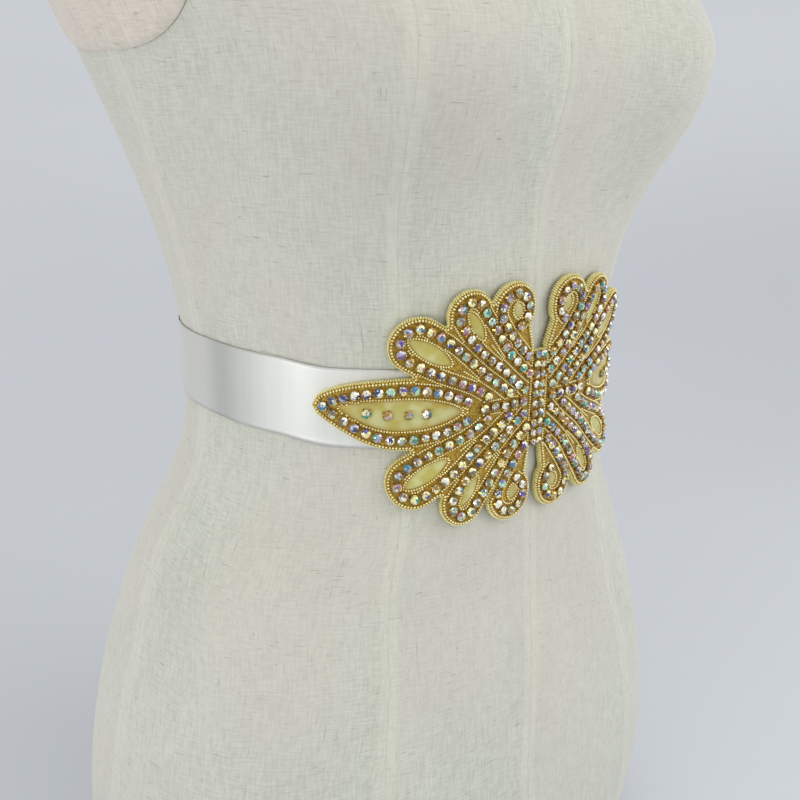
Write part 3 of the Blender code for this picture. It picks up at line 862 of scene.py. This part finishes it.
def build_tail(name, sign, satin):
    """A loose end: pleated under the knot, opening to its full width, with slow waves."""
    top = WAIST - KNOT_HEIGHT / 2 + 1.0
    deepest = [[0.0] * (TAIL_COLUMNS + 1) for _ in range(TAIL_ROWS + 1)]
    spots = {}
    for i in range(TAIL_ROWS + 1):
        share = i / TAIL_ROWS
        down = TAIL_LENGTH * share
        flare = smoothstep(down / TAIL_FLARE)
        width = TAIL_TOP_WIDTH + (RIBBON_WIDTH - TAIL_TOP_WIDTH) * flare
        inner = SEAM_GAP + (TAIL_SPREAD - RIBBON_WIDTH / 2) * smoothstep(share)
        for j in range(TAIL_COLUMNS + 1):
            across = j / TAIL_COLUMNS
            x = inner + width * across
            height = top - down - TAIL_SLANT * across * share
            above = deepest[i - 1][j] if i else 0.0
            deepest[i][j] = max(above, form_back(x, height) + SEAM_GAP)
            fold = pleat(across, 3, 1.0 + sign)
            wave = math.sin(2 * math.pi * (0.8 * across + 1.15 * share) + 1.3 * sign)
            lift = 1.6 * (1 - flare) * fold + 2.4 * smoothstep(share * 1.4) * (0.5 + 0.5 * wave)
            # Painted shade in the folds of the pleats under the knot.
            spots[i, j] = (Vector((sign * x, deepest[i][j] + lift, height)), 0.6 * (1 - flare) * (1 - fold))

    def place(across, along):
        i, j = round((1 - along) * TAIL_ROWS), round(across * TAIL_COLUMNS)
        point, shade = spots[i, j]
        # The tail is darker along its two edges.
        edge = 0.4 if j in (0, TAIL_COLUMNS) else 0.0
        flat = (1200 + 300 * sign + TAIL_LENGTH * along, RIBBON_WIDTH * across)
        return point, flat, max(shade, edge)

    bm = bmesh.new()
    shaped_grid(bm, TAIL_COLUMNS, TAIL_ROWS, place)
    tail = finish_piece("satin_" + name, bm, [satin], 60.0)
    add_cloth_wall(tail, RIBBON_CLOTH, from_middle)
    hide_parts(name)


# The applique's layout, as flat points on the wearer's right and above the axis


def bezier(start, bend, end, t):
    return start.lerp(bend, t).lerp(bend.lerp(end, t), t)


def evenly_spaced(points, pitch):
    """Points at an even pitch along a line through the given ones."""
    steps = [(b - a).length for a, b in zip(points, points[1:])]
    distance = np.concatenate([[0.0], np.cumsum(steps)])
    count = max(int(round(distance[-1] / pitch)), 1)
    wanted = np.linspace(0.0, distance[-1], count + 1)
    across = np.interp(wanted, distance, [point.x for point in points])
    up = np.interp(wanted, distance, [point.y for point in points])
    return [Vector((a, b)) for a, b in zip(across, up)]


def petal_sides(petal, margin):
    """The petal's two sides and cap, from root to tip and back, at a margin outside its rows."""
    root = Vector((petal.root_x, petal.root_y))
    bend = Vector((petal.bend_x, petal.bend_y))
    cap = Vector((petal.cap_x, petal.cap_y))
    inner_side, outer_side = [], []
    for i in range(41):
        t = i / 40
        point = bezier(root, bend, cap, t)
        along = (bend - root).lerp(cap - bend, t).normalized()
        across = Vector((-along.y, along.x))
        belly = smoothstep((t - petal.belly_from) / 0.55)
        half = ROW_SPACING / 2 + (petal.cap_radius - ROW_SPACING / 2) * belly + margin
        inner_side.append(point + across * half)
        outer_side.append(point - across * half)
    tip = []
    heading = math.atan2(cap.y - bend.y, cap.x - bend.x)
    for i in range(1, 20):
        turn = heading + math.pi / 2 - math.pi * i / 20
        tip.append(cap + Vector((math.cos(turn), math.sin(turn))) * (petal.cap_radius + margin))
    return inner_side + tip + outer_side[::-1]


def petal_middle(petal):
    """The line between a petal's two rows, up to where they part."""
    root = Vector((petal.root_x, petal.root_y))
    bend = Vector((petal.bend_x, petal.bend_y))
    cap = Vector((petal.cap_x, petal.cap_y))
    return [bezier(root, bend, cap, 0.6 * i / 30) for i in range(31)]


def leaf_side(margin):
    """The leaf's upper side, from its root to its point."""
    points = []
    for i in range(41):
        share = i / 40
        full = LEAF_HALF_WIDTH * math.sin(math.pi * share) ** LEAF_FULLNESS
        points.append(Vector((LEAF_START + (LEAF_END - LEAF_START) * share, full)))
    if not margin:
        return points
    return beside(points, margin) + [Vector((LEAF_END + margin, 0.0))]


def beside(line, distance):
    """A line beside another, to its left for a positive distance."""
    last = len(line) - 1
    moved = []
    for i, point in enumerate(line):
        along = line[min(i + 1, last)] - line[max(i - 1, 0)]
        moved.append(point + Vector((-along.y, along.x)).normalized() * distance)
    return moved


def curl_line(curl):
    """The curl's single row: up its stem, round its ring and back towards the stem."""
    ring = Vector((curl.ring_x, curl.ring_y))
    root = Vector((curl.root_x, curl.root_y))
    heading = math.atan2(ring.y - root.y, ring.x - root.x)
    first = heading - math.pi / 2 - math.radians(curl.neck)
    start = ring + Vector((math.cos(first), math.sin(first))) * curl.ring_radius
    along = Vector((-math.sin(first), math.cos(first)))
    bend = start - along * (start - root).length * 0.45
    stem = [bezier(root, bend, start, i / 12) for i in range(12)]
    turns = [first + math.radians(curl.turn) * i / 36 for i in range(37)]
    return stem + [ring + Vector((math.cos(a), math.sin(a))) * curl.ring_radius for a in turns]


def curl_edge(curl, margin):
    """The curl's outline: its ring, and both sides of its stem."""
    ring = Vector((curl.ring_x, curl.ring_y))
    root = Vector((curl.root_x, curl.root_y))
    along = (ring - root).normalized()
    across = Vector((-along.y, along.x))
    heading = math.atan2(along.y, along.x)
    outer = curl.ring_radius + margin
    neck = math.radians(150)
    turns = [heading + neck - 2 * neck * i / 48 for i in range(49)]
    points = [ring + Vector((math.cos(a), math.sin(a))) * outer for a in turns]
    return [root + across * margin] + points + [root - across * margin]


def inside(point, outline):
    """Whether a flat point lies inside a closed outline."""
    found = False
    for a, b in zip(outline, outline[1:] + outline[:1]):
        if (a.y > point.y) != (b.y > point.y):
            if point.x < a.x + (point.y - a.y) * (b.x - a.x) / (b.y - a.y):
                found = not found
    return found


def clear_of_middle(points):
    """Drops the ends of a row that come too near the applique's axis or its column."""
    nearest = COLUMN_HALF_WIDTH + STONE_ROW_WIDTH / 2 + SEAM_GAP
    return [point for point in points if point.y > AXIS_CLEARANCE and point.x > nearest]


def quarter_shapes(curl, margin):
    """The closed outlines that make one quarter of the applique, from the column to the leaf."""
    top = COLUMN_HALF_HEIGHT + margin - EDGE_MARGIN + COLUMN_MARGIN
    side = COLUMN_HALF_WIDTH + COLUMN_MARGIN
    leaf = leaf_side(margin)
    turns = [math.pi / 2 * i / 12 for i in range(13)]
    hub = [Vector((HUB_HALF_WIDTH * math.sin(a), HUB_HALF_HEIGHT * math.cos(a))) for a in turns]
    return [
        [Vector((-side, 0.0)), Vector((-side, top)), Vector((side, top)), Vector((side, 0.0))],
        curl_edge(curl, margin),
        petal_sides(PETALS[1], margin),
        petal_sides(PETALS[0], margin),
        [Vector((LEAF_START, -1.0))] + leaf + [Vector((LEAF_END, -1.0))],
        [Vector((0.0, -1.0))] + hub + [Vector((HUB_HALF_WIDTH, -1.0))],
    ]


def quarter_outline(curl):
    """The applique's edge over one quarter, which leaves out what lies inside or by a neighbour."""
    column, *petals, leaf, _ = quarter_shapes(curl, EDGE_MARGIN)
    swollen = quarter_shapes(curl, EDGE_MARGIN + CROTCH_FILL)
    top = [Vector((0.0, column[1].y)), column[2]]
    outline = []
    for number, line in enumerate([top] + petals + [leaf[1:-1]]):
        others = swollen[:number] + swollen[number + 1 :]
        dense = evenly_spaced(line, 0.5)
        outline += [p for p in dense if p.y >= 0 and not any(inside(p, shape) for shape in others)]
    return evenly_spaced(outline, OUTLINE_STEP)


@functools.cache
def applique_outline():
    upper = quarter_outline(CURL_UPPER)
    lower = [Vector((p.x, -p.y)) for p in quarter_outline(CURL_LOWER)]
    right_half = upper + lower[::-1][1:]
    left_half = [Vector((-p.x, p.y)) for p in right_half[::-1]]
    return right_half + left_half[1:-1]


def quarters():
    """The four quarters, by side and level, with their signs and their curl."""
    for side, sign in (("right", 1), ("left", -1)):
        for level, up, curl in (("upper", 1, CURL_UPPER), ("lower", -1, CURL_LOWER)):
            yield side, sign, level, up, curl


def turned(line, sign, up):
    return [Vector((sign * point.x, up * point.y)) for point in line]


@functools.cache
def stone_rows():
    """The flat places of the stones in every row, under the row's node name."""
    column = evenly_spaced([Vector((0.0, COLUMN_HALF_HEIGHT)), Vector((0.0, -COLUMN_HALF_HEIGHT))], COLUMN_PITCH)
    pairs = [Vector((side * COLUMN_STONE_ACROSS, point.y)) for point in column for side in (1, -1)]
    rows = {"column_stones": pairs}
    half_leaf = evenly_spaced([p for p in leaf_side(0.0) if p.y > ROW_SPACING / 2 or p.x > 80], STONE_PITCH)
    leaf = half_leaf + [Vector((p.x, -p.y)) for p in half_leaf[-2::-1]]
    midrib = evenly_spaced([Vector((MIDRIB_START, 0.0)), Vector((MIDRIB_END, 0.0))], STONE_PITCH)
    for side, sign in (("right", 1), ("left", -1)):
        rows["leaf_" + side] = turned(leaf, sign, 1)
        rows["midrib_" + side] = turned(midrib, sign, 1)
    for side, sign, level, up, curl in quarters():
        for petal in PETALS:
            line = evenly_spaced(clear_of_middle(petal_sides(petal, 0.0)), STONE_PITCH)
            rows[f"{petal.name}_{level}_{side}"] = turned(line, sign, up)
        rows[f"curl_{level}_{side}"] = turned(evenly_spaced(curl_line(curl), STONE_PITCH), sign, up)
    return rows


def single_stones():
    """Stones that stand alone down the middle of the leaves."""
    return [Vector((sign * across, 0.3)) for sign in (1, -1) for across in LEAF_SINGLE_STONES]


# Small shapes that are repeated over the applique


Template = namedtuple("Template", "corners faces slots")


def keep_template(bm):
    bm.verts.index_update()
    corners = np.array([vert.co for vert in bm.verts])
    faces = [[vert.index for vert in face.verts] for face in bm.faces]
    slots = [face.material_index for face in bm.faces]
    bm.free()
    return Template(corners, faces, slots)


def bead_template(radius, stretch):
    bm = bmesh.new()
    bmesh.ops.create_uvsphere(bm, u_segments=8, v_segments=5, radius=radius)
    bmesh.ops.scale(bm, vec=(stretch, 1.0, 1.0), verts=bm.verts)
    return keep_template(bm)


def stitch_template():
    """One thread of the edge: a long round stitch down the applique's side."""
    bm = bmesh.new()
    bmesh.ops.create_uvsphere(bm, u_segments=6, v_segments=6, radius=1.0)
    half_height = (BACKING_TOP - BACKING_BOTTOM) / 2 + 0.45
    bmesh.ops.scale(bm, vec=(0.6, 0.62, half_height), verts=bm.verts)
    lean = Matrix.Rotation(math.radians(STITCH_LEAN), 4, "Y")
    bmesh.ops.transform(bm, matrix=lean, verts=bm.verts)
    return keep_template(bm)


def stone_template():
    """A cut stone in its gold cup: facets are in slot 0, the cup and its four prongs in slot 1."""
    bm = bmesh.new()
    for segments, radius, height, turn in ((8, 1.25, 2.62, 22.5), (8, 1.86, 2.2, 0.0), (16, 2.3, 1.55, 0.0)):
        spin = Matrix.Translation((0, 0, height)) @ Matrix.Rotation(math.radians(turn), 4, "Z")
        bmesh.ops.create_circle(bm, segments=segments, radius=radius, matrix=spin)
    bmesh.ops.convex_hull(bm, input=bm.verts[:])
    bmesh.ops.dissolve_limit(bm, angle_limit=math.radians(1), verts=bm.verts, edges=bm.edges)
    table = max(bm.faces, key=lambda face: face.calc_center_median().z)
    bmesh.ops.poke(bm, faces=[table])
    stone_faces = set(bm.faces)
    cup = Matrix.Translation((0, 0, 0.75))
    bmesh.ops.create_cone(
        bm, cap_ends=True, segments=8, radius1=1.95, radius2=2.46, depth=1.5, matrix=cup
    )
    for turn in (45, 135, 225, 315):
        lean = Matrix.Rotation(math.radians(turn), 4, "Z") @ Matrix.Translation((2.3, 0, 1.35))
        lean = lean @ Matrix.Rotation(math.radians(-24), 4, "Y") @ Matrix.Diagonal((0.42, 0.8, 1.5, 1))
        bmesh.ops.create_cube(bm, size=1.0, matrix=lean)
    bmesh.ops.recalc_face_normals(bm, faces=bm.faces)
    for face in bm.faces:
        face.material_index = 0 if face in stone_faces else 1
    return keep_template(bm)


def placing(flat, heading, out, tilt=(0.0, 0.0)):
    """The turn and place of a small shape over the flat layout, its x along a heading."""
    along = Vector((math.cos(heading), math.sin(heading)))
    ahead, behind = flat + along, flat - along
    first = on_sash(ahead.x, ahead.y, out) - on_sash(behind.x, behind.y, out)
    left = Vector((-along.y, along.x))
    beside_a, beside_b = flat + left, flat - left
    second = on_sash(beside_a.x, beside_a.y, out) - on_sash(beside_b.x, beside_b.y, out)
    outward = second.cross(first).normalized()
    first.normalize()
    turn = Matrix((first, outward.cross(first), outward)).transposed()
    if any(tilt):
        turn = turn @ Matrix.Rotation(tilt[0], 3, "X") @ Matrix.Rotation(tilt[1], 3, "Y")
    return np.array(turn) * MM, np.array(on_sash(flat.x, flat.y, out)) * MM


def repeat_shape(name, template, places, materials, angle):
    """One mesh of many copies of a small shape, with a tint for each."""
    turns = np.array([turn for turn, _ in places])
    spots = np.array([spot for _, spot in places])
    corners = np.einsum("nij,vj->nvi", turns, template.corners) + spots[:, None, :]
    size = len(template.corners)
    faces = [[i + n * size for i in face] for n in range(len(places)) for face in template.faces]
    mesh = bpy.data.meshes.new(name)
    mesh.from_pydata(corners.reshape(-1, 3), [], faces)
    mesh.polygons.foreach_set("material_index", template.slots * len(places))
    chance = random.Random(name)
    tints = np.repeat([chance.random() for _ in places], size)
    mesh.attributes.new("tint", "FLOAT", "POINT").data.foreach_set("value", tints.astype(np.float32))
    return place_piece(name, mesh, materials, angle)


# Painted reflections on the stones' facets: deep ones, pale glints, and how a stone divides them
PaintedFacetLight = namedtuple("PaintedFacetLight", "share red green blue")
DEEP_REFLECTIONS = [
    PaintedFacetLight(0.12, 0.05, 0.07, 0.20),
    PaintedFacetLight(0.09, 0.16, 0.11, 0.36),
    PaintedFacetLight(0.09, 0.08, 0.24, 0.42),
    PaintedFacetLight(0.12, 0.06, 0.36, 0.31),
    PaintedFacetLight(0.09, 0.42, 0.19, 0.25),
    PaintedFacetLight(0.21, 0.42, 0.26, 0.05),
    PaintedFacetLight(0.28, 0.24, 0.19, 0.14),
]
PALE_GLINTS = [
    PaintedFacetLight(0.26, 1.00, 1.00, 0.86),
    PaintedFacetLight(0.27, 1.00, 0.97, 0.52),
    PaintedFacetLight(0.14, 0.52, 0.84, 0.64),
    PaintedFacetLight(0.10, 0.50, 0.48, 0.66),
    PaintedFacetLight(0.09, 0.58, 0.44, 0.42),
    PaintedFacetLight(0.14, 0.50, 0.56, 0.44),
]
StoneLook = namedtuple("StoneLook", "share deep_table deep_crown strays")
STONE_LOOKS = [
    StoneLook(0.30, 0.92, 0.16, 0.20),
    StoneLook(0.34, 0.45, 0.60, 0.18),
    StoneLook(0.16, 0.08, 0.22, 0.14),
    StoneLook(0.20, 0.75, 0.80, 0.30),
]
TABLE_RADIUS = 0.9


def pick(chance, table):
    return chance.choices(table, [row.share for row in table])[0]


def paint_facet_reflections(piece, template, count):
    """Paints every stone's facets with a deep reflection and a pale glint, divided over its facets by a line
    across it.
    """
    chance = random.Random(piece.name + " facets")
    middles = [template.corners[face].mean(axis=0) for face in template.faces]
    tones = []
    for _ in range(count):
        deep, pale, look = pick(chance, DEEP_REFLECTIONS), pick(chance, PALE_GLINTS), pick(chance, STONE_LOOKS)
        glint = chance.uniform(0, 2 * math.pi)
        for middle in middles:
            table = math.hypot(middle[0], middle[1]) < TABLE_RADIUS
            share = look.deep_table if table else look.deep_crown
            facing = 0.5 + 0.5 * math.cos(math.atan2(middle[1], middle[0]) - glint)
            tone = deep if facing < share else pale
            if chance.random() < look.strays:
                tone = pick(chance, chance.choice((DEEP_REFLECTIONS, PALE_GLINTS)))
            # Each facet's painted reflection is lighter or darker at random.
            bright = chance.uniform(0.66, 1.1)
            tones += [min(bright * part, 1.0) for part in tone[1:]] + [1.0]
    layer = piece.data.attributes.new("facet", "FLOAT_COLOR", "FACE")
    layer.data.foreach_set("color", np.array(tones, np.float32))


def build_stones(materials):
    template = stone_template()
    rows = dict(stone_rows())
    rows["leaf_middle"] = single_stones()
    for name, line in rows.items():
        chance = random.Random(name)
        places = []
        for i, flat in enumerate(line):
            along = line[min(i + 1, len(line) - 1)] - line[max(i - 1, 0)]
            heading = math.atan2(along.y, along.x) + math.radians(chance.uniform(-STONE_TURN, STONE_TURN))
            tilt = [math.radians(chance.uniform(-STONE_TILT, STONE_TILT)) for _ in range(2)]
            turn, spot = placing(flat, heading, BACKING_TOP, tilt)
            places.append((turn * (COLUMN_STONE_SCALE if name == "column_stones" else 1.0), spot))
        piece = repeat_shape(name + "_rhinestones", template, places, materials, 5.0)
        paint_facet_reflections(piece, template, len(places))
        if name in frame["nodes"]:
            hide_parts(name)


def build_backing(ground):
    """The stiff cut-out backing, modelled flat and wrapped on the sash's bed."""
    bm = bmesh.new()
    border = [bm.verts.new((point.x, point.y, 0.0)) for point in applique_outline()]
    edges = [bm.edges.new(pair) for pair in zip(border, border[1:] + border[:1])]
    bmesh.ops.triangle_fill(bm, edges=edges, use_beauty=True)
    reach = int(LEAF_END / WRAP_STEP) + 2
    for axis in ((1, 0, 0), (0, 1, 0)):
        for i in range(-reach, reach + 1):
            cut = Vector(axis) * i * WRAP_STEP
            everything = bm.verts[:] + bm.edges[:] + bm.faces[:]
            bmesh.ops.bisect_plane(bm, geom=everything, dist=1e-5, plane_co=cut, plane_no=axis)
    raised = bmesh.ops.extrude_face_region(bm, geom=bm.faces[:])["geom"]
    top = [item for item in raised if isinstance(item, bmesh.types.BMVert)]
    bmesh.ops.translate(bm, vec=(0, 0, BACKING_TOP - BACKING_BOTTOM), verts=top)
    for vert in bm.verts:
        vert.co = on_sash(vert.co.x, vert.co.y, BACKING_BOTTOM + vert.co.z) * MM
    bmesh.ops.recalc_face_normals(bm, faces=bm.faces)
    backing = finish_piece("stitched_backing", bm, [ground])
    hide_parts("applique_backing")


def almond_places():
    """Each almond in its four or two places: its middle, half sizes, heading and amber shade."""
    for almond in ALMONDS:
        for sign in (1, -1):
            for up in (1,) if almond.name == "leaf" else (1, -1):
                shift = CURL_LOWER.ring_x - CURL_UPPER.ring_x if almond.name == "curl" and up < 0 else 0.0
                middle = Vector((sign * (almond.across + shift), up * almond.up))
                heading = math.radians(almond.heading) * sign * up + (math.pi if sign < 0 else 0.0)
                yield middle, almond.length / 2, almond.width / 2, heading, almond.amber


def almond_edge(middle, half_length, half_width, heading, margin=0.0):
    """An almond's outline, pointed at its two ends."""
    along = Vector((math.cos(heading), math.sin(heading)))
    left = Vector((-along.y, along.x))
    points = []
    for i in range(64):
        turn = 2 * math.pi * i / 64
        across = math.sin(turn) * abs(math.sin(turn)) ** 0.25 * (half_width + margin)
        points.append(middle + along * math.cos(turn) * (half_length + margin) + left * across)
    return points


def build_inlays(satin):
    """Slight pillows of yellow satin in the leaves, petals and curls."""
    bm = bmesh.new()
    end = bm.verts.layers.float.new("hollow")
    for middle, half_length, half_width, heading, amber in almond_places():
        made = bmesh.ops.create_uvsphere(bm, u_segments=28, v_segments=12, radius=1.0)["verts"]
        for vert in made:
            # Amber over the whole almond by its share, and towards the rim amber with painted shade.
            vert[end] = amber + (1 - amber) * math.hypot(vert.co.x, vert.co.y) ** 7
            vert.co.y *= (1 - vert.co.x**2 * 0.45) * half_width
            vert.co.x *= half_length
            vert.co.z = max(vert.co.z, -0.5) * INLAY_RISE
        spin = Matrix.Translation(middle.to_3d()) @ Matrix.Rotation(heading, 4, "Z")
        bmesh.ops.transform(bm, matrix=spin, verts=made)
    for vert in bm.verts:
        vert.co = on_sash(vert.co.x, vert.co.y, BACKING_TOP + vert.co.z + 0.1) * MM
    bmesh.ops.recalc_face_normals(bm, faces=bm.faces)
    inlays = finish_piece("satin_inlays", bm, [satin], 80.0)


def headings(line, closed):
    count = len(line)
    found = []
    for i in range(count):
        after = line[(i + 1) % count] if closed else line[min(i + 1, count - 1)]
        before = line[i - 1] if closed else line[max(i - 1, 0)]
        found.append(math.atan2(after.y - before.y, after.x - before.x))
    return found


def build_edge(beads, thread):
    """The stitches over the applique's side, and the row of larger beads inside its rim."""
    outline = applique_outline()
    closed = outline + [outline[0]]
    ring = evenly_spaced(closed, STITCH_PITCH)[:-1]
    middle = (BACKING_TOP + BACKING_BOTTOM) / 2 + 0.1
    places = [placing(p, h, middle) for p, h in zip(ring, headings(ring, True))]
    stitches = repeat_shape("edge_stitches", stitch_template(), places, [thread], 80.0)
    inset = beside(evenly_spaced(closed, 0.5), -RIM_INSET)
    if not inside(inset[0], outline):
        inset = beside(evenly_spaced(closed, 0.5), RIM_INSET)
    return evenly_spaced(inset, RIM_PITCH)[:-1]


def off_middle(points):
    """Drops the ends of a line of beads over the applique's axis or by its column."""
    return [p for p in points if p.y > BEAD_LINE + BEAD_RADIUS and p.x > COLUMN_HALF_WIDTH + BEAD_PITCH]


def bead_lines():
    """Every line of small beads: along the rows of stones, between them and round the almonds."""
    lines = []
    for sign in (1, -1):
        side = COLUMN_HALF_WIDTH + 0.95
        lines.append([Vector((sign * side, up)) for up in (COLUMN_HALF_HEIGHT, -COLUMN_HALF_HEIGHT)])
    for middle, half_length, half_width, heading, _ in almond_places():
        ring = almond_edge(middle, half_length, half_width, heading, 0.3)
        lines.append(ring + ring[:1])
    for _, sign, _, up, curl in quarters():
        for petal in PETALS:
            lines.append(turned(petal_middle(petal), sign, up))
        for petal in PETALS:
            for margin in (-BEAD_LINE, BEAD_LINE):
                lines.append(turned(off_middle(petal_sides(petal, margin)), sign, up))
        dense = evenly_spaced(curl_line(curl), 0.6)
        lines += [turned(beside(dense, BEAD_LINE), sign, up), turned(beside(dense, -BEAD_LINE), sign, up)]
        lines.append(turned([p for p in leaf_side(-BEAD_LINE) if p.y > 0.3], sign, up))
        lines.append(turned([p for p in leaf_side(BEAD_LINE) if p.y > AXIS_CLEARANCE], sign, up))
        lines.append(turned([Vector((MIDRIB_START, BEAD_LINE)), Vector((MIDRIB_END, BEAD_LINE))], sign, up))
    return lines


def build_beads(gold, rim):
    """Sews the rim's beads, then every small one that has room beside stones and other beads."""
    stones = [point for row in stone_rows().values() for point in row] + single_stones()
    tree = kdtree.KDTree(len(stones))
    for i, point in enumerate(stones):
        tree.insert(point.to_3d(), i)
    tree.balance()
    outline = applique_outline()
    cells = {}

    def has_room(point, clearance):
        if tree.find(point.to_3d())[2] < STONE_CLEARANCE:
            return False
        column, row = math.floor(point.x / 2), math.floor(point.y / 2)
        near = [other for i in (-1, 0, 1) for j in (-1, 0, 1) for other in cells.get((column + i, row + j), [])]
        return all((other - point).length >= clearance for other in near)

    def keep(point):
        cells.setdefault((math.floor(point.x / 2), math.floor(point.y / 2)), []).append(point)

    rim_places = []
    for point, heading in zip(rim, headings(rim, True)):
        if has_room(point, 2 * RIM_RADIUS * 0.9):
            keep(point)
            rim_places.append(placing(point, heading, BACKING_TOP + RIM_RADIUS * 0.7))
    small = {"right": [], "left": []}
    for line in bead_lines():
        beads = evenly_spaced(line, BEAD_PITCH)
        for point, heading in zip(beads, headings(beads, False)):
            if has_room(point, BEAD_CLEARANCE) and inside(point, outline):
                keep(point)
                side = "right" if point.x > 0 else "left"
                small[side].append(placing(point, heading, BACKING_TOP + BEAD_RADIUS * 0.7))
    pieces = [repeat_shape("rim_beads", bead_template(RIM_RADIUS, 0.85), rim_places, [gold], 80.0)]
    for side, places in small.items():
        template = bead_template(BEAD_RADIUS, 0.9)
        pieces.append(repeat_shape("seed_beads_" + side, template, places, [gold], 80.0))


# Floor, backdrop, lights and camera


def build_stage():
    """A round floor that curves up into the wall, seen by the camera alone past the form's feet."""
    floor_radius, cove, wall_top = 0.9, 2.2, 3.6
    shade = backdrop_finish("pale_backdrop", colour(0.63, 0.66, 0.71), colour(0.865, 0.905, 0.96))
    bm = bmesh.new()
    bmesh.ops.create_circle(bm, cap_ends=True, segments=96, radius=floor_radius)
    bmesh.ops.translate(bm, vec=(0, 0, -0.0005), verts=bm.verts)
    floor = finish_stage("floor", bm, shade)
    bm = bmesh.new()
    profile = []
    for i in range(25):
        turn = math.pi / 2 * i / 24
        profile.append((floor_radius + cove * math.sin(turn), 0.0, cove - cove * math.cos(turn) - 0.0005))
    profile.append((floor_radius + cove, 0.0, wall_top))
    verts = [bm.verts.new(point) for point in profile]
    edges = [bm.edges.new(pair) for pair in zip(verts, verts[1:])]
    bmesh.ops.spin(
        bm, geom=verts + edges, axis=(0, 0, 1), cent=(0, 0, 0), angle=2 * math.pi, steps=96, use_merge=True
    )
    wall = finish_stage("backdrop", bm, shade)
    wall.visible_diffuse = False
    wall.visible_glossy = False
    wall.visible_shadow = False


def finish_stage(name, bm, material):
    mesh = bpy.data.meshes.new(name)
    bm.to_mesh(mesh)
    bm.free()
    mesh.materials.append(material)
    mesh.shade_smooth()
    piece = bpy.data.objects.new(name, mesh)
    bpy.context.scene.collection.objects.link(piece)
    return piece


def direction(azimuth, elevation):
    a, e = math.radians(azimuth), math.radians(elevation)
    return Vector((math.sin(a) * math.cos(e), -math.cos(a) * math.cos(e), math.sin(e)))


def add_light(name, azimuth, elevation, distance, size, spread, power, tint):
    light = bpy.data.lights.new(name, "AREA")
    light.shape = "RECTANGLE"
    light.size, light.size_y = size
    light.spread = math.radians(spread)
    light.energy = power
    light.color = tint
    lamp = bpy.data.objects.new(name, light)
    away = direction(azimuth, elevation)
    lamp.location = Vector((0, 0, WAIST * MM)) + away * distance
    lamp.rotation_euler = away.to_track_quat("Z", "Y").to_euler()
    bpy.context.scene.collection.objects.link(lamp)


def build_lights():
    add_light("low_window", -80, -3, 2.0, (1.1, 0.4), 60, 1.4, (1.0, 1.0, 1.0))
    add_light("wide_window", 42, 22, 1.6, (1.2, 1.2), 120, 4.2, (1.0, 0.995, 0.97))
    add_light("ceiling", -30, 62, 1.6, (1.4, 1.4), 180, 4.0, (1.0, 1.0, 0.98))
    add_light("back_fill", 165, 40, 1.9, (1.4, 1.4), 180, 2.6, (1.0, 1.0, 0.98))
    world = bpy.data.worlds.new("studio")
    bpy.context.scene.world = world
    world.use_nodes = True
    background = world.node_tree.nodes["Background"]
    background.inputs["Color"].default_value = colour(1.0, 1.0, 1.0)
    background.inputs["Strength"].default_value = 0.65


def build_camera():
    """The camera at the photograph's place: turned round the waist, then panned, tipped and rolled."""
    back = direction(CAMERA_AZIMUTH, CAMERA_ELEVATION)
    right = Vector((math.cos(math.radians(CAMERA_AZIMUTH)), math.sin(math.radians(CAMERA_AZIMUTH)), 0.0))
    up = right.cross(-back)
    pan = Matrix.Rotation(math.radians(CAMERA_YAW), 3, up)
    right, forward = pan @ right, pan @ -back
    tip = Matrix.Rotation(math.radians(CAMERA_PITCH), 3, right)
    forward, up = tip @ forward, tip @ up
    roll = Matrix.Rotation(math.radians(CAMERA_ROLL), 3, forward)
    right, up = roll @ right, roll @ up
    lens = bpy.data.cameras.new("camera")
    lens.lens = CAMERA_LENS
    lens.clip_start = 0.02
    camera = bpy.data.objects.new("camera", lens)
    turn = Matrix((right, up, -forward)).transposed()
    spot = (Vector((0, 0, WAIST)) + back * CAMERA_DISTANCE) * MM
    camera.matrix_world = Matrix.Translation(spot) @ turn.to_4x4()
    bpy.context.scene.collection.objects.link(camera)
    bpy.context.scene.camera = camera


def main():
    bpy.context.scene.view_settings.view_transform = "Standard"
    build_camera()
    build_lights()
    build_stage()
    linen = linen_finish("linen", colour(0.645, 0.665, 0.58), colour(0.475, 0.49, 0.42), colour(0.635, 0.59, 0.54))
    plate_linen = linen_finish("plate_linen", colour(0.73, 0.67, 0.59), colour(0.56, 0.515, 0.445), colour(0.71, 0.62, 0.56))
    satin = satin_finish()
    gold = gold_finish("gold_bead", colour(0.80, 0.61, 0.16), colour(1.0, 0.95, 0.56), 0.2, 0.6)
    # The cups' gold is darker than the beads', with painted shade round the stones.
    cup = gold_finish("gold_cup", colour(0.36, 0.20, 0.03), colour(0.78, 0.54, 0.14), 0.25, 0.9)
    thread = thread_finish("gold_thread_edge", colour(0.68, 0.59, 0.17), colour(1.0, 0.95, 0.50), 0.28)
    ground = thread_finish("gold_ground", colour(0.17, 0.085, 0.004), colour(0.68, 0.45, 0.035), 0.35)
    form = build_form(linen)
    build_armhole_plate("armhole_plate_right", -1, plate_linen)
    build_armhole_plate("armhole_plate_left", 1, plate_linen)
    ribbon = build_ribbon(satin)
    knot = build_knot(satin)
    build_tail("ribbon_tail_right", -1, satin)
    build_tail("ribbon_tail_left", 1, satin)
    build_backing(ground)
    build_inlays(inlay_finish())
    rim = build_edge(gold, thread)
    build_beads(gold, rim)
    build_stones([rhinestone_finish(), cup])


main()
